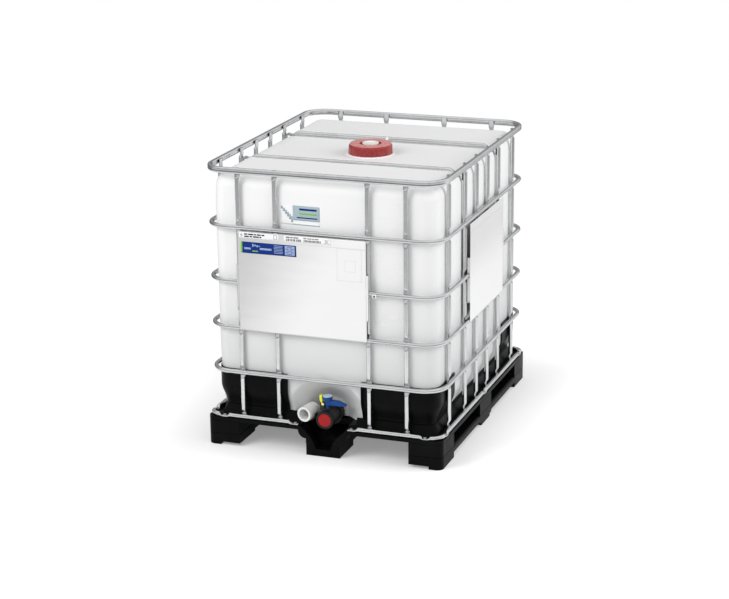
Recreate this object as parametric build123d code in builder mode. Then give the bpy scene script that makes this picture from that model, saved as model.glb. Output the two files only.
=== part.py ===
from build123d import *
import math
import os

os.makedirs("parts", exist_ok=True)

# Intermediate bulk container, millimetres. X runs across the valve side, the valve looks along -Y,
# Z is up from the floor, and the origin is the centre of the footprint.

# Fits
seat_gap = 0.2           # between pieces of one assembly that rest on or are welded to each other
running_gap = 0.3        # between pieces that move on each other
bearing_gap = 0.06       # radial, between the spindle and its bores

# Pallet
pallet_width = 1000.0
pallet_length = 1200.0
pallet_corner_radius = 28.0
foot_height = 12.0
runner_lift = 22.0       # underside of the runner between its feet
runner_top = 50.0
runner_chamfer = 7.0
deck_bottom = 104.0
lip_height = 16.0
tray_rise = 16.0         # tray floor above the lip
block_width = 140.0
end_block_length = 160.0
middle_block_length = 164.0
centre_block_width = 144.0
foot_margin = 84.0       # the foot pads stop this far from the inner sides of the runners
foot_end_margin = 22.0
rim_top = 163.0
rim_foot_inset = 34.0

# Trough under the valve
trough_outline = ((30.0, 28.0), (42.0, 60.0), (56.0, 82.0), (85.0, 109.0), (98.0, 122.0))  # half width, Z
trough_step_inset = 68.0      # of the step in its floor from the pallet's front edge
trough_step_height = 59.0
trough_back_inset = 138.0
trough_back_height = 96.0
trough_back_half = 52.0
rim_notch_half = 128.0   # opening in the deck's rim above the trough
drain_block_flare = 34.0

# Cage
tube_diameter = 18.0
tube_wall = 1.0
cage_edge_gap = 1.5      # outer face of the cage inside the pallet edge
total_height = 1160.0
rim_tube_height = 26.0
ring_heights = (318.0, 506.0, 698.0, 920.0)
cage_corner_radius = 90.0
rail_corner_radius = 40.0
rail_gap_left = 150.0    # the rail stops this far left of the centre, for the valve
rail_gap_right = 147.0
crossing_thickness = 10.8
crossing_width = 24.0
crossing_half_height = 12.0
crossing_taper = 15.0
upright_end_gap = 4.0
front_upright_places = (-348.0, -192.0, 192.0, 348.0)
rear_upright_places = (-347.0, -133.0, 133.0, 347.0)
side_upright_places = (-444.0, -234.0, -77.0, 77.0, 234.0, 444.0)

# Pressed and screwed places of the bottom rail
press_height = 7.0
press_width = 20.5
press_half_length = 9.0
press_taper = 14.0
screw_diameter = 6.0
screw_head_diameter = 12.5
screw_head_height = 3.5
screw_hole_gap = 0.4

# Crossbars over the bottle
crossbar_place = 234.0
crossbar_drop = 23.0     # below the centre line of the top rim
crossbar_tab_thickness = 3.2
crossbar_tab_length = 26.0
crossbar_taper = 28.0
bracket_thickness = 2.4
bracket_reach = 31.0
bracket_drop = 26.0

# Bottle
bottle_wall = 3.0
bottle_corner_radius = 60.0
bottle_floor = 136.3
bottle_drop = 32.0       # of its highest part below the container's top
waist_clearance = 3.0    # under the crossbars
bottle_waist_half = 246.0
sump_half_width = 44.0
sump_drop = 15.0
sump_reach = 40.0
sump_margin = 6.0
waist_slope = 14.0
recess_radius = 170.0
recess_throat_radius = 64.0
recess_inset = 130.0     # of the recess's back from the pallet's front edge
lug_width = 9.0
lug_height = 22.0
front_lugs = (-14.0, -52.0)      # places of the lugs that hold the crossbars
rear_lugs = (-6.0,)

# Guards between bottle and cage
guard_wall = 4.0
guard_clearance = 0.7
guard_top = 323.0
low_guard_top = 182.0
guard_front_edge = 158.0
guard_side_edge = 335.0
guard_rib = 9.0

# Fill opening
neck_outer_radius = 75.4
neck_wall = 7.0
neck_boss_radius = 100.0
neck_boss_height = 3.5
cap_bottom_radius = 91.5
cap_top_radius = 85.5
cap_drop = 4.0           # below the container's top
cap_roof = 8.0
cap_recess_radius = 45.5
cap_recess_depth = 5.0
cap_flute_count = 14
cap_flute_depth = 4.0
cap_flute_radius = 5.0
cap_shoulder_height = 9.0
cap_shoulder_radius = 89.8
gasket_thickness = 2.6
gasket_lap = 2.0         # how far the gasket reaches inside the neck's bore
bung_head_radius = 34.0
bung_radius = 28.0
bung_wall = 5.0
bung_depth = 18.0
bung_head_height = 6.0
bung_dish_radius = 25.0
bung_gasket_thickness = 1.6

# Outlet valve
valve_place = 6.0        # sideways from the container's centre line
valve_height = 152.0
valve_bore_radius = 25.0
neck_radius = 33.5
neck_inset = 110.0       # insets along the valve are from the pallet's front edge
flange_radius = 39.0
flange_thickness = 7.0
union_radius = 45.0
union_lip = 6.0
union_back_gap = 6.0
grip_count = 18
grip_radius = 4.0
grip_depth = 1.6
barrel_radius = 34.0
barrel_inset = 34.0
spout_radius = 30.0
spindle_inset = 48.0
spindle_radius = 6.0
boss_radius = 13.0
boss_rise = 3.5          # spindle boss above the barrel
disc_thickness = 6.0
disc_clearance = 0.4
seat_half_length = 8.0
seat_depth = 2.4

# Lever, hub cap and safety clip
lever_height = 206.5     # underside of the blade
blade_thickness = 19.5
blade_root_radius = 10.0
blade_tip_radius = 8.0
blade_tip_bottom = 2.0   # rise of the tip's underside
blade_tip_top = 7.0
blade_slope_length = 34.0
lever_reach = 82.0
hub_radius = 19.5
hub_top = 242.0
hub_cap_thickness = 3.0
collar_radius = 8.0      # of the lever round the spindle, under the blade
clip_width = 11.0
clip_depth = 14.0
clip_top = 246.0
clip_bottom = 215.0
clip_bevel_width = 6.0
clip_bevel_height = 12.0
clip_front_lap = 3.0     # of the clip in front of the ear
button_width = 12.5
button_height = 11.0
button_lap = 1.0         # of the button over the clip's lower edge
button_thickness = 3.5
ear_thickness = 9.0
ear_post_width = 19.0

# Outlet cap
outlet_inset = 8.0
outlet_window_radius = 27.2
outlet_lip = 2.3
outlet_lap = 3.0         # radial, of seal and disc over the spout's edge
outlet_disc_flange = 3.0
outlet_thread_length = 15.0
outlet_nut_radius = 37.0
outlet_nut_bevel = 1.5

# Spare drain pipe stowed beside the valve
pipe_place = -82.0
pipe_height = 167.5
pipe_radius = 30.5
pipe_bore_radius = 21.5
pipe_length = 78.0
pipe_turn = 10.0         # degrees that the pipe's mouth turns away from the valve
pipe_bevel = 1.0
cradle_length = 16.0
cradle_place = 33.0      # from the pipe's mouth
cradle_wall = 6.0
cradle_foot_width = 12.0

# Plates and labels
plate_thickness = 0.8
plate_bottom = 500.0
plate_top = 908.0
plate_fold = 35.0        # of the fold below the plate's top edge
plate_fold_depth = 0.5
front_plate_left = -343.0
front_plate_right = 193.0
side_plate_front = -228.0
side_plate_rear = 240.0
plate_tab_width = 8.0
plate_tab_depth = 10.0
plate_tab_bottom = 585.0
plate_tab_top = 771.0
label_thickness = 0.3
strip_spans = ((-338.0, -168.0), (-147.0, 49.0))
strip_height = 24.0
strip_margin = 3.0
label_span = (-331.0, -96.0)
label_bottom = 821.0
label_top = 867.0
bottle_label_span = (-171.0, -6.0)
bottle_label_bottom = 943.0
bottle_label_top = 1021.0
tag_size = 15.0
tag_thickness = 1.0
tag_place = 225.0

# Values that follow from the sizes above
half_width = pallet_width / 2
half_length = pallet_length / 2
lip_top = deck_bottom + lip_height
tray_floor = lip_top + tray_rise
tube_radius = tube_diameter / 2
ring_inset = cage_edge_gap + tube_radius
rail_height = lip_top + seat_gap + tube_radius
rim_height = total_height - rim_tube_height / 2
crossbar_height = rim_height - crossbar_drop
upright_face_inset = ring_inset + tube_radius + seat_gap + crossing_thickness
upright_inset = upright_face_inset - tube_radius
guard_inset = upright_face_inset + seat_gap
bottle_inset = guard_inset + guard_wall + guard_clearance
bottle_face = half_length - bottle_inset
bottle_top = total_height - bottle_drop
bottle_waist_height = crossbar_height - tube_radius - waist_clearance
screw_radius = screw_diameter / 2
screw_hole_radius = screw_radius + screw_hole_gap
above = (Align.CENTER, Align.CENTER, Align.MIN)
cap_top = total_height - cap_drop
cap_bottom = bottle_waist_height + neck_boss_height + running_gap
neck_top = cap_top - cap_roof - gasket_thickness - seat_gap - running_gap
flank = ((245.0, 0.0), (221.0, 4.5), (192.0, 16.2), (179.0, 20.2), (rim_top + seat_gap, 21.4))

# Distances from the container's centre along the valve
trough_step = half_length - trough_step_inset
trough_back = half_length - trough_back_inset
recess_back = half_length - recess_inset
neck_face = half_length - neck_inset
spindle_place = half_length - spindle_inset
barrel_front = half_length - barrel_inset
outlet_face = half_length - outlet_inset

valve_plane = Plane(origin=(valve_place, 0, valve_height), x_dir=(0, -1, 0), z_dir=(-1, 0, 0))
valve_axis = Axis((valve_place, 0, valve_height), (0, -1, 0))
pipe_angle = math.radians(pipe_turn)
pipe_mouth = Plane(
    origin=(pipe_place, -outlet_face, pipe_height),
    x_dir=(math.cos(pipe_angle), -math.sin(pipe_angle), 0),
    z_dir=(-math.sin(pipe_angle), -math.cos(pipe_angle), 0),
)


def save(piece, label):
    piece.part.label = label
    export_step(piece.part, f"parts/{label}.step")


def stacked_block(profile, inset, corner_radius):
    """A closed block through rounded rectangles, one for each (height, extra inset) of the profile."""
    with BuildPart() as block:
        for height, extra in profile:
            with BuildSketch(Plane.XY.offset(height)):
                wide = pallet_width - 2 * (inset + extra)
                long = pallet_length - 2 * (inset + extra)
                RectangleRounded(wide, long, corner_radius - extra)
        loft(ruled=True)
    return block.part


def round_bar(section_plane, points, axis):
    """A turned piece from its half section."""
    with BuildPart() as turned:
        with BuildSketch(section_plane):
            with BuildLine():
                Polyline(*points, close=True)
            make_face()
        revolve(axis=axis)
    return turned.part


def collar(front, back, outer, inner):
    """A plain ring on the valve's axis, between two distances from the container's centre."""
    points = ((front, inner), (front, outer), (back, outer), (back, inner))
    return round_bar(valve_plane, points, valve_axis)


# Pallet: a tray deck on nine blocks, on three runners that run front to back
end_row = half_length - end_block_length / 2
block_column = half_width - block_width / 2
block_places = [(x, y) for x in (-block_column, 0.0, block_column) for y in (-end_row, 0.0, end_row)]
drain_block_place = (0.0, -end_row)


def block_size(x, y):
    width = centre_block_width if x == 0 else block_width
    length = middle_block_length if y == 0 else end_block_length
    return width, length


def trough_section(distance, outline):
    """The trough's cross section: half widths and heights, and straight up from the last of them."""
    mouth_half = outline[-1][0]
    right_side = [*outline, (mouth_half, rim_top + lip_height)]
    left_side = [(-x, z) for x, z in reversed(right_side)]
    with BuildSketch(Plane.XZ.offset(distance)) as section:
        with BuildLine():
            Polyline(*right_side, *left_side, close=True)
        make_face()
    return section.sketch.face()


(low_half, low_height), (next_half, next_height) = trough_outline[:2]
step_share = (trough_step_height - low_height) / (next_height - low_height)
step_half = low_half + step_share * (next_half - low_half)
step_outline = [(step_half, trough_step_height), *trough_outline[2:]]
wall_half, wall_height = trough_outline[3]
back_middle = ((trough_back_half + wall_half) / 2, (trough_back_height + wall_height) / 2)
back_outline = [(trough_back_half, trough_back_height), back_middle, *trough_outline[3:]]

with BuildPart() as trough:
    extrude(trough_section(trough_step, trough_outline), amount=half_length + 1 - trough_step)
    sections = [trough_section(trough_step, step_outline), trough_section(trough_back, back_outline)]
    loft(sections, ruled=True)

with BuildPart() as pallet_deck:
    with BuildSketch(Plane.XY.offset(deck_bottom)):
        RectangleRounded(pallet_width, pallet_length, pallet_corner_radius)
    extrude(amount=lip_height)
    rim_inset = guard_inset + flank[-1][1]
    for height, inset in ((lip_top, rim_foot_inset), (rim_top, rim_inset)):
        with BuildSketch(Plane.XY.offset(height)):
            corner = bottle_corner_radius + bottle_inset - inset
            RectangleRounded(pallet_width - 2 * inset, pallet_length - 2 * inset, corner)
    loft(ruled=True)
    tray_inset = rim_inset + guard_wall
    with BuildSketch(Plane.XY.offset(tray_floor)):
        corner = bottle_corner_radius + bottle_inset - tray_inset
        RectangleRounded(pallet_width - 2 * tray_inset, pallet_length - 2 * tray_inset, corner)
    extrude(amount=rim_top, mode=Mode.SUBTRACT)
    sump_seat_length = trough_back + sump_reach + sump_margin
    with Locations((valve_place, -trough_back + sump_seat_length / 2, bottle_floor - sump_drop - seat_gap)):
        Box(2 * (sump_half_width + sump_margin), sump_seat_length, rim_top, align=above, mode=Mode.SUBTRACT)
    with Locations((0, -trough_back, tray_floor)):
        notch_reach = half_length - trough_back
        forward = (Align.CENTER, Align.MAX, Align.MIN)
        Box(2 * rim_notch_half, notch_reach, rim_top, align=forward, mode=Mode.SUBTRACT)
    add(trough.part, mode=Mode.SUBTRACT)
save(pallet_deck, "pallet_deck")

with BuildPart() as pallet_blocks:
    for x, y in block_places:
        if (x, y) != drain_block_place:
            with BuildSketch(Plane.XY.offset(runner_top)):
                with Locations((x, y)):
                    Rectangle(*block_size(x, y))
            extrude(amount=deck_bottom - runner_top)
    with BuildSketch():
        RectangleRounded(pallet_width, pallet_length, pallet_corner_radius)
    extrude(amount=deck_bottom, mode=Mode.INTERSECT)
save(pallet_blocks, "pallet_blocks")

with BuildPart() as drain_block:
    half_block = centre_block_width / 2
    with BuildSketch(Plane.XZ.offset(half_length - end_block_length)):
        with BuildLine():
            start = (half_block, deck_bottom - drain_block_flare)
            flare_end = (half_block + drain_block_flare, deck_bottom)
            Polyline((0, deck_bottom), (0, runner_top), (half_block, runner_top), start)
            RadiusArc(start, flare_end, -drain_block_flare)
            Line(flare_end, (0, deck_bottom))
        make_face()
        mirror(about=Plane.YZ)
    extrude(amount=end_block_length)
    add(trough.part, mode=Mode.SUBTRACT)
save(drain_block, "pallet_drain_block")

for label, x in (("runner_left", -block_column), ("runner_centre", 0.0), ("runner_right", block_column)):
    width = centre_block_width if x == 0 else block_width
    outward = 0 if x == 0 else math.copysign(1, x)
    with BuildPart() as runner:
        with BuildSketch(Plane.XZ.offset(-half_length)):
            with Locations((x, (runner_lift + runner_top) / 2)):
                board = Rectangle(width, runner_top - runner_lift)
            chamfer(board.vertices().group_by(Axis.Y)[-1], runner_chamfer)
        extrude(amount=pallet_length)
        for row in (-end_row, 0.0, end_row):
            block_length = block_size(x, row)[1]
            with Locations((x, row, foot_height)):
                Box(width, block_length, runner_top - foot_height, align=above)
            pad_width = width - (foot_margin if outward else 0)
            pad_length = block_length - (0 if row else 2 * foot_end_margin)
            with Locations((x + outward * foot_margin / 2, row, 0)):
                Box(pad_width, pad_length, foot_height, align=above)
        with BuildSketch():
            RectangleRounded(pallet_width, pallet_length, pallet_corner_radius)
        extrude(amount=runner_top, mode=Mode.INTERSECT)
        if x == 0:
            add(trough.part, mode=Mode.SUBTRACT)
    save(runner, label)

# Cage uprights: round tube, pressed flat where it crosses a ring, with the ring outside it at -Y
stations = [(rail_height - tube_radius + seat_gap, True), (rail_height + crossing_half_height, True)]
stations.append((rail_height + crossing_half_height + crossing_taper, False))
for ring_height in ring_heights:
    for side in (-1, 1):
        taper_end = (ring_height + side * (crossing_half_height + crossing_taper), False)
        press_end = (ring_height + side * crossing_half_height, True)
        stations += [taper_end, press_end] if side < 0 else [press_end, taper_end]
rim_press = rim_height - rim_tube_height / 2 - crossing_half_height / 3
stations += [(rim_press - crossing_taper, False), (rim_press, True), (total_height - upright_end_gap, True)]


def upright_core(shrink):
    """The upright's outer shape, or its bore when it is shrunk by the wall."""
    with BuildPart() as core:
        for height, pressed in stations:
            with BuildSketch(Plane.XY.offset(height)):
                if pressed:
                    with Locations((0, tube_radius - crossing_thickness / 2)):
                        Ellipse(crossing_width / 2 - shrink, crossing_thickness / 2 - shrink)
                else:
                    Circle(tube_radius - shrink)
        loft(ruled=True)
    return core.part


with BuildPart() as upright:
    add(upright_core(0))
    add(upright_core(tube_wall), mode=Mode.SUBTRACT)

front_line = half_length - upright_inset
side_line = half_width - upright_inset
upright_walls = {
    "front_uprights": [(x, -front_line, 0) for x in front_upright_places],
    "rear_uprights": [(x, front_line, 180) for x in rear_upright_places],
    "right_uprights": [(side_line, y, 90) for y in side_upright_places],
    "left_uprights": [(-side_line, y, -90) for y in side_upright_places],
}
for label, places in upright_walls.items():
    with BuildPart() as uprights:
        for x, y, turn in places:
            with Locations(Location((x, y, 0), (0, 0, turn))):
                add(upright.part)
    save(uprights, label)

# Cage rings and top rim
ring_start = (0, -(half_length - ring_inset))
section_x = (0, 0, 1)


def ring_path(height):
    with BuildSketch(Plane.XY.offset(height)) as loop:
        RectangleRounded(pallet_width - 2 * ring_inset, pallet_length - 2 * ring_inset, cage_corner_radius)
    return loop.sketch.face().outer_wire()


for number, ring_height in enumerate(reversed(ring_heights), start=1):
    with BuildPart() as ring:
        path = ring_path(ring_height)
        with BuildSketch(Plane(origin=path @ 0, x_dir=section_x, z_dir=path % 0)):
            Circle(tube_radius)
            Circle(tube_radius - tube_wall, mode=Mode.SUBTRACT)
        sweep(path=path)
    save(ring, f"cage_ring_{number}")

with BuildPart() as top_rim:
    path = ring_path(rim_height)
    with BuildSketch(Plane(origin=path @ 0, x_dir=section_x, z_dir=path % 0)):
        SlotOverall(rim_tube_height, tube_diameter)
        SlotOverall(rim_tube_height - 2 * tube_wall, tube_diameter - 2 * tube_wall, mode=Mode.SUBTRACT)
    sweep(path=path)
save(top_rim, "top_rim")

# Bottom rail: one tube round the pallet edge, pressed flat where it is screwed down, open at the valve
rail_x = half_width - ring_inset
rail_y = half_length - ring_inset
press_reach = press_half_length + press_taper
corner_press_x = rail_x - rail_corner_radius - press_reach
corner_press_y = rail_y - rail_corner_radius - press_reach
rail_presses = [(side * corner_press_x, end * rail_y, 0) for side in (-1, 1) for end in (-1, 1)]
rail_presses += [(side * rail_x, end * corner_press_y, 90) for side in (-1, 1) for end in (-1, 1)]
rail_presses += [(-rail_x, 0, 90), (rail_x, 0, 90), (0, rail_y, 0)]
press_centre = press_height / 2 - tube_radius
tab_length = 2 * press_half_length + screw_head_diameter
rail_ends = ((-rail_gap_left, 1), (rail_gap_right, -1))


def pressed_piece(runs):
    """A piece along X through (distance, pressed) sections, pressed down onto the pallet."""
    with BuildPart() as piece:
        for distance, pressed in runs:
            with BuildSketch(Plane.YZ.offset(distance)):
                if pressed:
                    with Locations((0, press_centre)):
                        Ellipse(press_width / 2, press_height / 2)
                else:
                    Circle(tube_radius)
        loft(ruled=True)
    return piece.part


rail_press = pressed_piece(
    ((-press_reach, False), (-press_half_length, True), (press_half_length, True), (press_reach, False))
)
rail_end = pressed_piece(((0, False), (press_taper, True), (press_taper + tab_length, True)))

with BuildPart() as bottom_rail:
    corners = [(rail_x, -rail_y), (rail_x, rail_y), (-rail_x, rail_y), (-rail_x, -rail_y)]
    corners = [(rail_gap_right, -rail_y), *corners, (-rail_gap_left, -rail_y)]
    with BuildLine() as rail_path:
        FilletPolyline(*[(x, y, rail_height) for x, y in corners], radius=rail_corner_radius)
    with BuildSketch(Plane(origin=rail_path.line @ 0, x_dir=section_x, z_dir=rail_path.line % 0)):
        Circle(tube_radius)
        Circle(tube_radius - tube_wall, mode=Mode.SUBTRACT)
    sweep(path=rail_path.line)
    for x, y, turn in rail_presses:
        with Locations(Location((x, y, rail_height), (0, 0, turn))):
            Box(2 * press_reach, 2 * tube_diameter, 2 * tube_diameter, mode=Mode.SUBTRACT)
            add(rail_press)
    for x, direction in rail_ends:
        with Locations(Location((x, -rail_y, rail_height), (0, 0, 0 if direction > 0 else 180))):
            add(rail_end)
    tab_screws = [(x + direction * (press_taper + tab_length / 2), -rail_y) for x, direction in rail_ends]
    rail_screw_places = [(x, y) for x, y, turn in rail_presses] + tab_screws
    with Locations(*[(x, y, rail_height) for x, y in rail_screw_places]):
        Cylinder(screw_hole_radius, 2 * tube_diameter, mode=Mode.SUBTRACT)
save(bottom_rail, "bottom_rail")

with BuildPart() as rail_screws:
    press_top = rail_height + press_centre + press_height / 2
    with Locations(*[(x, y, press_top) for x, y in rail_screw_places]):
        Cylinder(screw_head_diameter / 2, screw_head_height, align=above)
    with Locations(*[(x, y, lip_top) for x, y in rail_screw_places]):
        Cylinder(screw_radius, press_top - lip_top + screw_head_height, align=above)
save(rail_screws, "rail_screws")

# Crossbars over the bottle, with flattened ends screwed to brackets on the uprights
bar_bottom = crossbar_height - tube_radius
upright_face = half_width - upright_face_inset
bracket_outer = upright_face - seat_gap
bracket_inner = bracket_outer - bracket_thickness
tab_end = bracket_inner - seat_gap
tab_start = tab_end - crossbar_tab_length
bar_end = tab_start - crossbar_taper
bracket_screw_x = tab_end - crossbar_tab_length / 2
tab_centre = crossbar_tab_thickness / 2 - tube_radius

with BuildPart() as crossbar_half:
    with BuildSketch(Plane.YZ):
        Circle(tube_radius)
        Circle(tube_radius - tube_wall, mode=Mode.SUBTRACT)
    extrude(amount=bar_end)
    for distance, flattened in ((bar_end, False), (tab_start, True), (tab_end, True)):
        with BuildSketch(Plane.YZ.offset(distance)):
            if flattened:
                with Locations((0, tab_centre)):
                    Ellipse(crossing_width / 2, crossbar_tab_thickness / 2)
            else:
                Circle(tube_radius)
    loft(ruled=True)
    with Locations((bracket_screw_x, 0, -tube_radius)):
        Cylinder(screw_hole_radius, tube_diameter, mode=Mode.SUBTRACT)

for label, side in (("crossbar_front", -1), ("crossbar_rear", 1)):
    with BuildPart() as crossbar:
        for turn in (0, 180):
            with Locations(Location((0, side * crossbar_place, crossbar_height), (0, 0, turn))):
                add(crossbar_half.part)
    save(crossbar, label)

with BuildPart() as bracket:
    ear_bottom = bar_bottom - bracket_thickness - seat_gap
    with BuildSketch(Plane.XZ.offset(-crossing_width / 2)):
        with BuildLine():
            Polyline(
                (bracket_outer - bracket_reach, ear_bottom),
                (bracket_inner, ear_bottom),
                (bracket_inner, ear_bottom - bracket_drop),
                (bracket_outer, ear_bottom - bracket_drop),
                (bracket_outer, ear_bottom + bracket_thickness),
                (bracket_outer - bracket_reach, ear_bottom + bracket_thickness),
                close=True,
            )
        make_face()
    extrude(amount=crossing_width)
    with Locations((bracket_screw_x, 0, ear_bottom)):
        Cylinder(screw_hole_radius, 3 * bracket_thickness, mode=Mode.SUBTRACT)

with BuildPart() as bracket_screw:
    with Locations((bracket_screw_x, 0, bar_bottom + crossbar_tab_thickness)):
        Cylinder(screw_head_diameter / 2, screw_head_height, align=above)
    with Locations((bracket_screw_x, 0, ear_bottom)):
        Cylinder(screw_radius, bracket_thickness + crossbar_tab_thickness + screw_head_height, align=above)

bracket_spots = [
    Location((0, end * crossbar_place, 0), (0, 0, turn)) for end in (-1, 1) for turn in (0, 180)
]
for label, piece in (("crossbar_brackets", bracket), ("crossbar_screws", bracket_screw)):
    with BuildPart() as group:
        with Locations(*bracket_spots):
            add(piece.part)
    save(group, label)

# Bottle: a blown shell with a waist under the crossbars, a recess behind the valve and a sump into it
bottle_profile = [(bottle_floor, 52.0), (141.0, 38.0), (150.0, 27.0)]
bottle_profile += [(height, extra) for height, extra in reversed(flank)]
shoulder = ((-60.0, 0.0), (-38.0, 4.0), (-20.0, 14.0), (-8.0, 31.0), (0.0, 56.0))
bottle_profile += [(bottle_top + drop, extra) for drop, extra in shoulder]


def bottle_shape(inward):
    """The bottle's outside, or its cavity when it is moved inward by the wall."""
    middle = (bottle_floor + bottle_top) / 2
    profile = [(z + inward if z < middle else z - inward, extra) for z, extra in bottle_profile]
    waist_top = bottle_waist_height - inward
    sump_floor = bottle_floor - sump_drop + inward
    sump_wall = sump_half_width - inward
    with BuildPart() as shape:
        add(stacked_block(profile, bottle_inset + inward, bottle_corner_radius - inward))
        with BuildSketch(Plane.YZ.offset(-half_width)):
            with BuildLine():
                Polyline(
                    (-bottle_waist_half - inward, waist_top),
                    (bottle_waist_half + inward, waist_top),
                    (bottle_waist_half + inward + waist_slope, bottle_top + 1),
                    (-bottle_waist_half - inward - waist_slope, bottle_top + 1),
                    close=True,
                )
            make_face()
        extrude(amount=pallet_width, mode=Mode.SUBTRACT)
        with Locations((valve_place, -recess_back, sump_floor)):
            corner_align = (Align.CENTER, Align.MIN, Align.MIN)
            Box(2 * sump_wall, recess_back + sump_reach - inward, sump_drop + 10, align=corner_align)
        mouth = (bottle_face + 1, recess_radius + inward)
        throat = (recess_back - inward, recess_throat_radius + inward)
        cone = ((mouth[0], 0), mouth, throat, (throat[0], 0))
        add(round_bar(valve_plane, cone, valve_axis), mode=Mode.SUBTRACT)
    return shape.part


with BuildPart() as bottle:
    add(bottle_shape(0))
    with Locations((0, 0, bottle_waist_height)):
        Cylinder(neck_boss_radius, neck_boss_height, align=above)
        Cylinder(neck_outer_radius, neck_top - bottle_waist_height, align=above)
    add(collar(neck_face, recess_back - bottle_wall, neck_radius, 0))
    add(bottle_shape(bottle_wall), mode=Mode.SUBTRACT)
    with Locations((0, 0, bottle_waist_height - 2 * bottle_wall)):
        Cylinder(neck_outer_radius - neck_wall, bottle_top, align=above, mode=Mode.SUBTRACT)
    add(collar(neck_face + 1, recess_back - 2 * bottle_wall, valve_bore_radius, 0), mode=Mode.SUBTRACT)
    lug_line = crossbar_place - tube_radius - running_gap - lug_width / 2
    lug_places = [(x, -lug_line) for x in front_lugs] + [(x, lug_line) for x in rear_lugs]
    with Locations(*[(x, y, bottle_waist_height) for x, y in lug_places]):
        Box(lug_width, lug_width, lug_height, align=above)
save(bottle, "bottle")

# Guards: a formed shell between bottle and cage, high at the corners and low along the other walls
guard_outline = [(height, extra) for height, extra in reversed(flank)] + [(guard_top, 0.0)]
quarter = (Align.MIN, Align.MIN, Align.MIN)


def guard_band(outer_inset):
    """The formed wall right round the bottle, from an outer inset to the guard's inner face."""
    corner = bottle_corner_radius + bottle_inset - outer_inset
    inner_inset = guard_inset + guard_wall
    with BuildPart() as band:
        add(stacked_block(guard_outline, outer_inset, corner))
        inner_corner = bottle_corner_radius + bottle_inset - inner_inset
        add(stacked_block(guard_outline, inner_inset, inner_corner), mode=Mode.SUBTRACT)
    return band.part


guard_shell = guard_band(guard_inset)

with BuildPart() as guard_flange:
    add(guard_band(guard_inset - guard_rib))
    with Locations((guard_front_edge, 0, 0)):
        Box(guard_wall, pallet_length, guard_top - guard_wall, align=quarter, mode=Mode.INTERSECT)

with BuildPart() as corner_guard:
    add(guard_shell)
    with Locations((guard_front_edge, guard_side_edge, 0)):
        Box(pallet_width, pallet_length, guard_top, align=quarter, mode=Mode.INTERSECT)
    add(guard_flange.part)

with BuildPart() as guard_rear_right:
    add(corner_guard.part)
save(guard_rear_right, "guard_rear_right")

with BuildPart() as guard_rear_left:
    mirror(corner_guard.part, about=Plane.YZ)
save(guard_rear_left, "guard_rear_left")

with BuildPart() as guard_front_right:
    mirror(corner_guard.part, about=Plane.XZ)
save(guard_front_right, "guard_front_right")

with BuildPart() as guard_front_left:
    with Locations(Location((0, 0, 0), (0, 0, 180))):
        add(corner_guard.part)
save(guard_front_left, "guard_front_left")

low_guards = {
    "low_guard_left": (-half_width, 0, guard_side_edge),
    "low_guard_right": (half_width, 0, guard_side_edge),
    "low_guard_rear": (0, half_length, guard_front_edge),
}
for label, (x, y, reach) in low_guards.items():
    with BuildPart() as low_guard:
        add(guard_shell)
        band = 2 * (guard_inset + bottle_corner_radius)
        span = 2 * (reach - seat_gap)
        with Locations((x, y, 0)):
            Box(band if x else span, span if x else band, low_guard_top, align=above, mode=Mode.INTERSECT)
    save(low_guard, label)

# Fill opening: screw cap with a 2 inch bung in it
neck_bore = neck_outer_radius - neck_wall
roof_bottom = cap_top - cap_roof
recess_floor = cap_top - cap_recess_depth
bung_hole = bung_radius + running_gap
boss_bottom = roof_bottom - bung_depth

with BuildPart() as fill_cap:
    cap_points = (
        (neck_outer_radius + running_gap, cap_bottom),
        (cap_bottom_radius, cap_bottom),
        (cap_shoulder_radius, cap_top - cap_shoulder_height),
        (cap_top_radius, cap_top),
        (cap_recess_radius, cap_top),
        (cap_recess_radius, recess_floor),
        (bung_hole, recess_floor),
        (bung_hole, boss_bottom),
        (bung_hole + bung_wall, boss_bottom),
        (bung_hole + bung_wall, roof_bottom),
        (neck_outer_radius + running_gap, roof_bottom),
    )
    add(round_bar(Plane.XZ, cap_points, Axis.Z))
    flute_circle = cap_bottom_radius + cap_flute_radius - cap_flute_depth
    with Locations((0, 0, cap_bottom)):
        with PolarLocations(flute_circle, cap_flute_count):
            flute_height = cap_top - cap_shoulder_height - cap_bottom
            Cylinder(cap_flute_radius, flute_height, align=above, mode=Mode.SUBTRACT)
save(fill_cap, "fill_cap")

with BuildPart() as cap_gasket:
    gasket_outer = neck_outer_radius - running_gap
    with Locations((0, 0, roof_bottom - seat_gap - gasket_thickness)):
        Cylinder(gasket_outer, gasket_thickness, align=above)
        Cylinder(neck_bore - gasket_lap, gasket_thickness, align=above, mode=Mode.SUBTRACT)
save(cap_gasket, "cap_gasket")

with BuildPart() as bung_gasket:
    with Locations((0, 0, recess_floor + seat_gap)):
        Cylinder(bung_head_radius - running_gap, bung_gasket_thickness, align=above)
        Cylinder(bung_hole, bung_gasket_thickness, align=above, mode=Mode.SUBTRACT)
save(bung_gasket, "bung_gasket")

with BuildPart() as bung:
    head_bottom = recess_floor + bung_gasket_thickness + 2 * seat_gap
    head_top = head_bottom + bung_head_height
    floor_top = head_top - bung_head_height / 2
    stem_bottom = boss_bottom + running_gap
    bung_points = (
        (0, floor_top),
        (bung_dish_radius - bung_head_height / 3, floor_top),
        (bung_dish_radius, head_top),
        (bung_head_radius, head_top),
        (bung_head_radius, head_bottom),
        (bung_radius, head_bottom),
        (bung_radius, stem_bottom),
        (bung_radius - bung_wall, stem_bottom),
        (bung_radius - bung_wall, head_bottom),
        (0, head_bottom),
    )
    add(round_bar(Plane.XZ, bung_points, Axis.Z))
save(bung, "bung")

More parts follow.
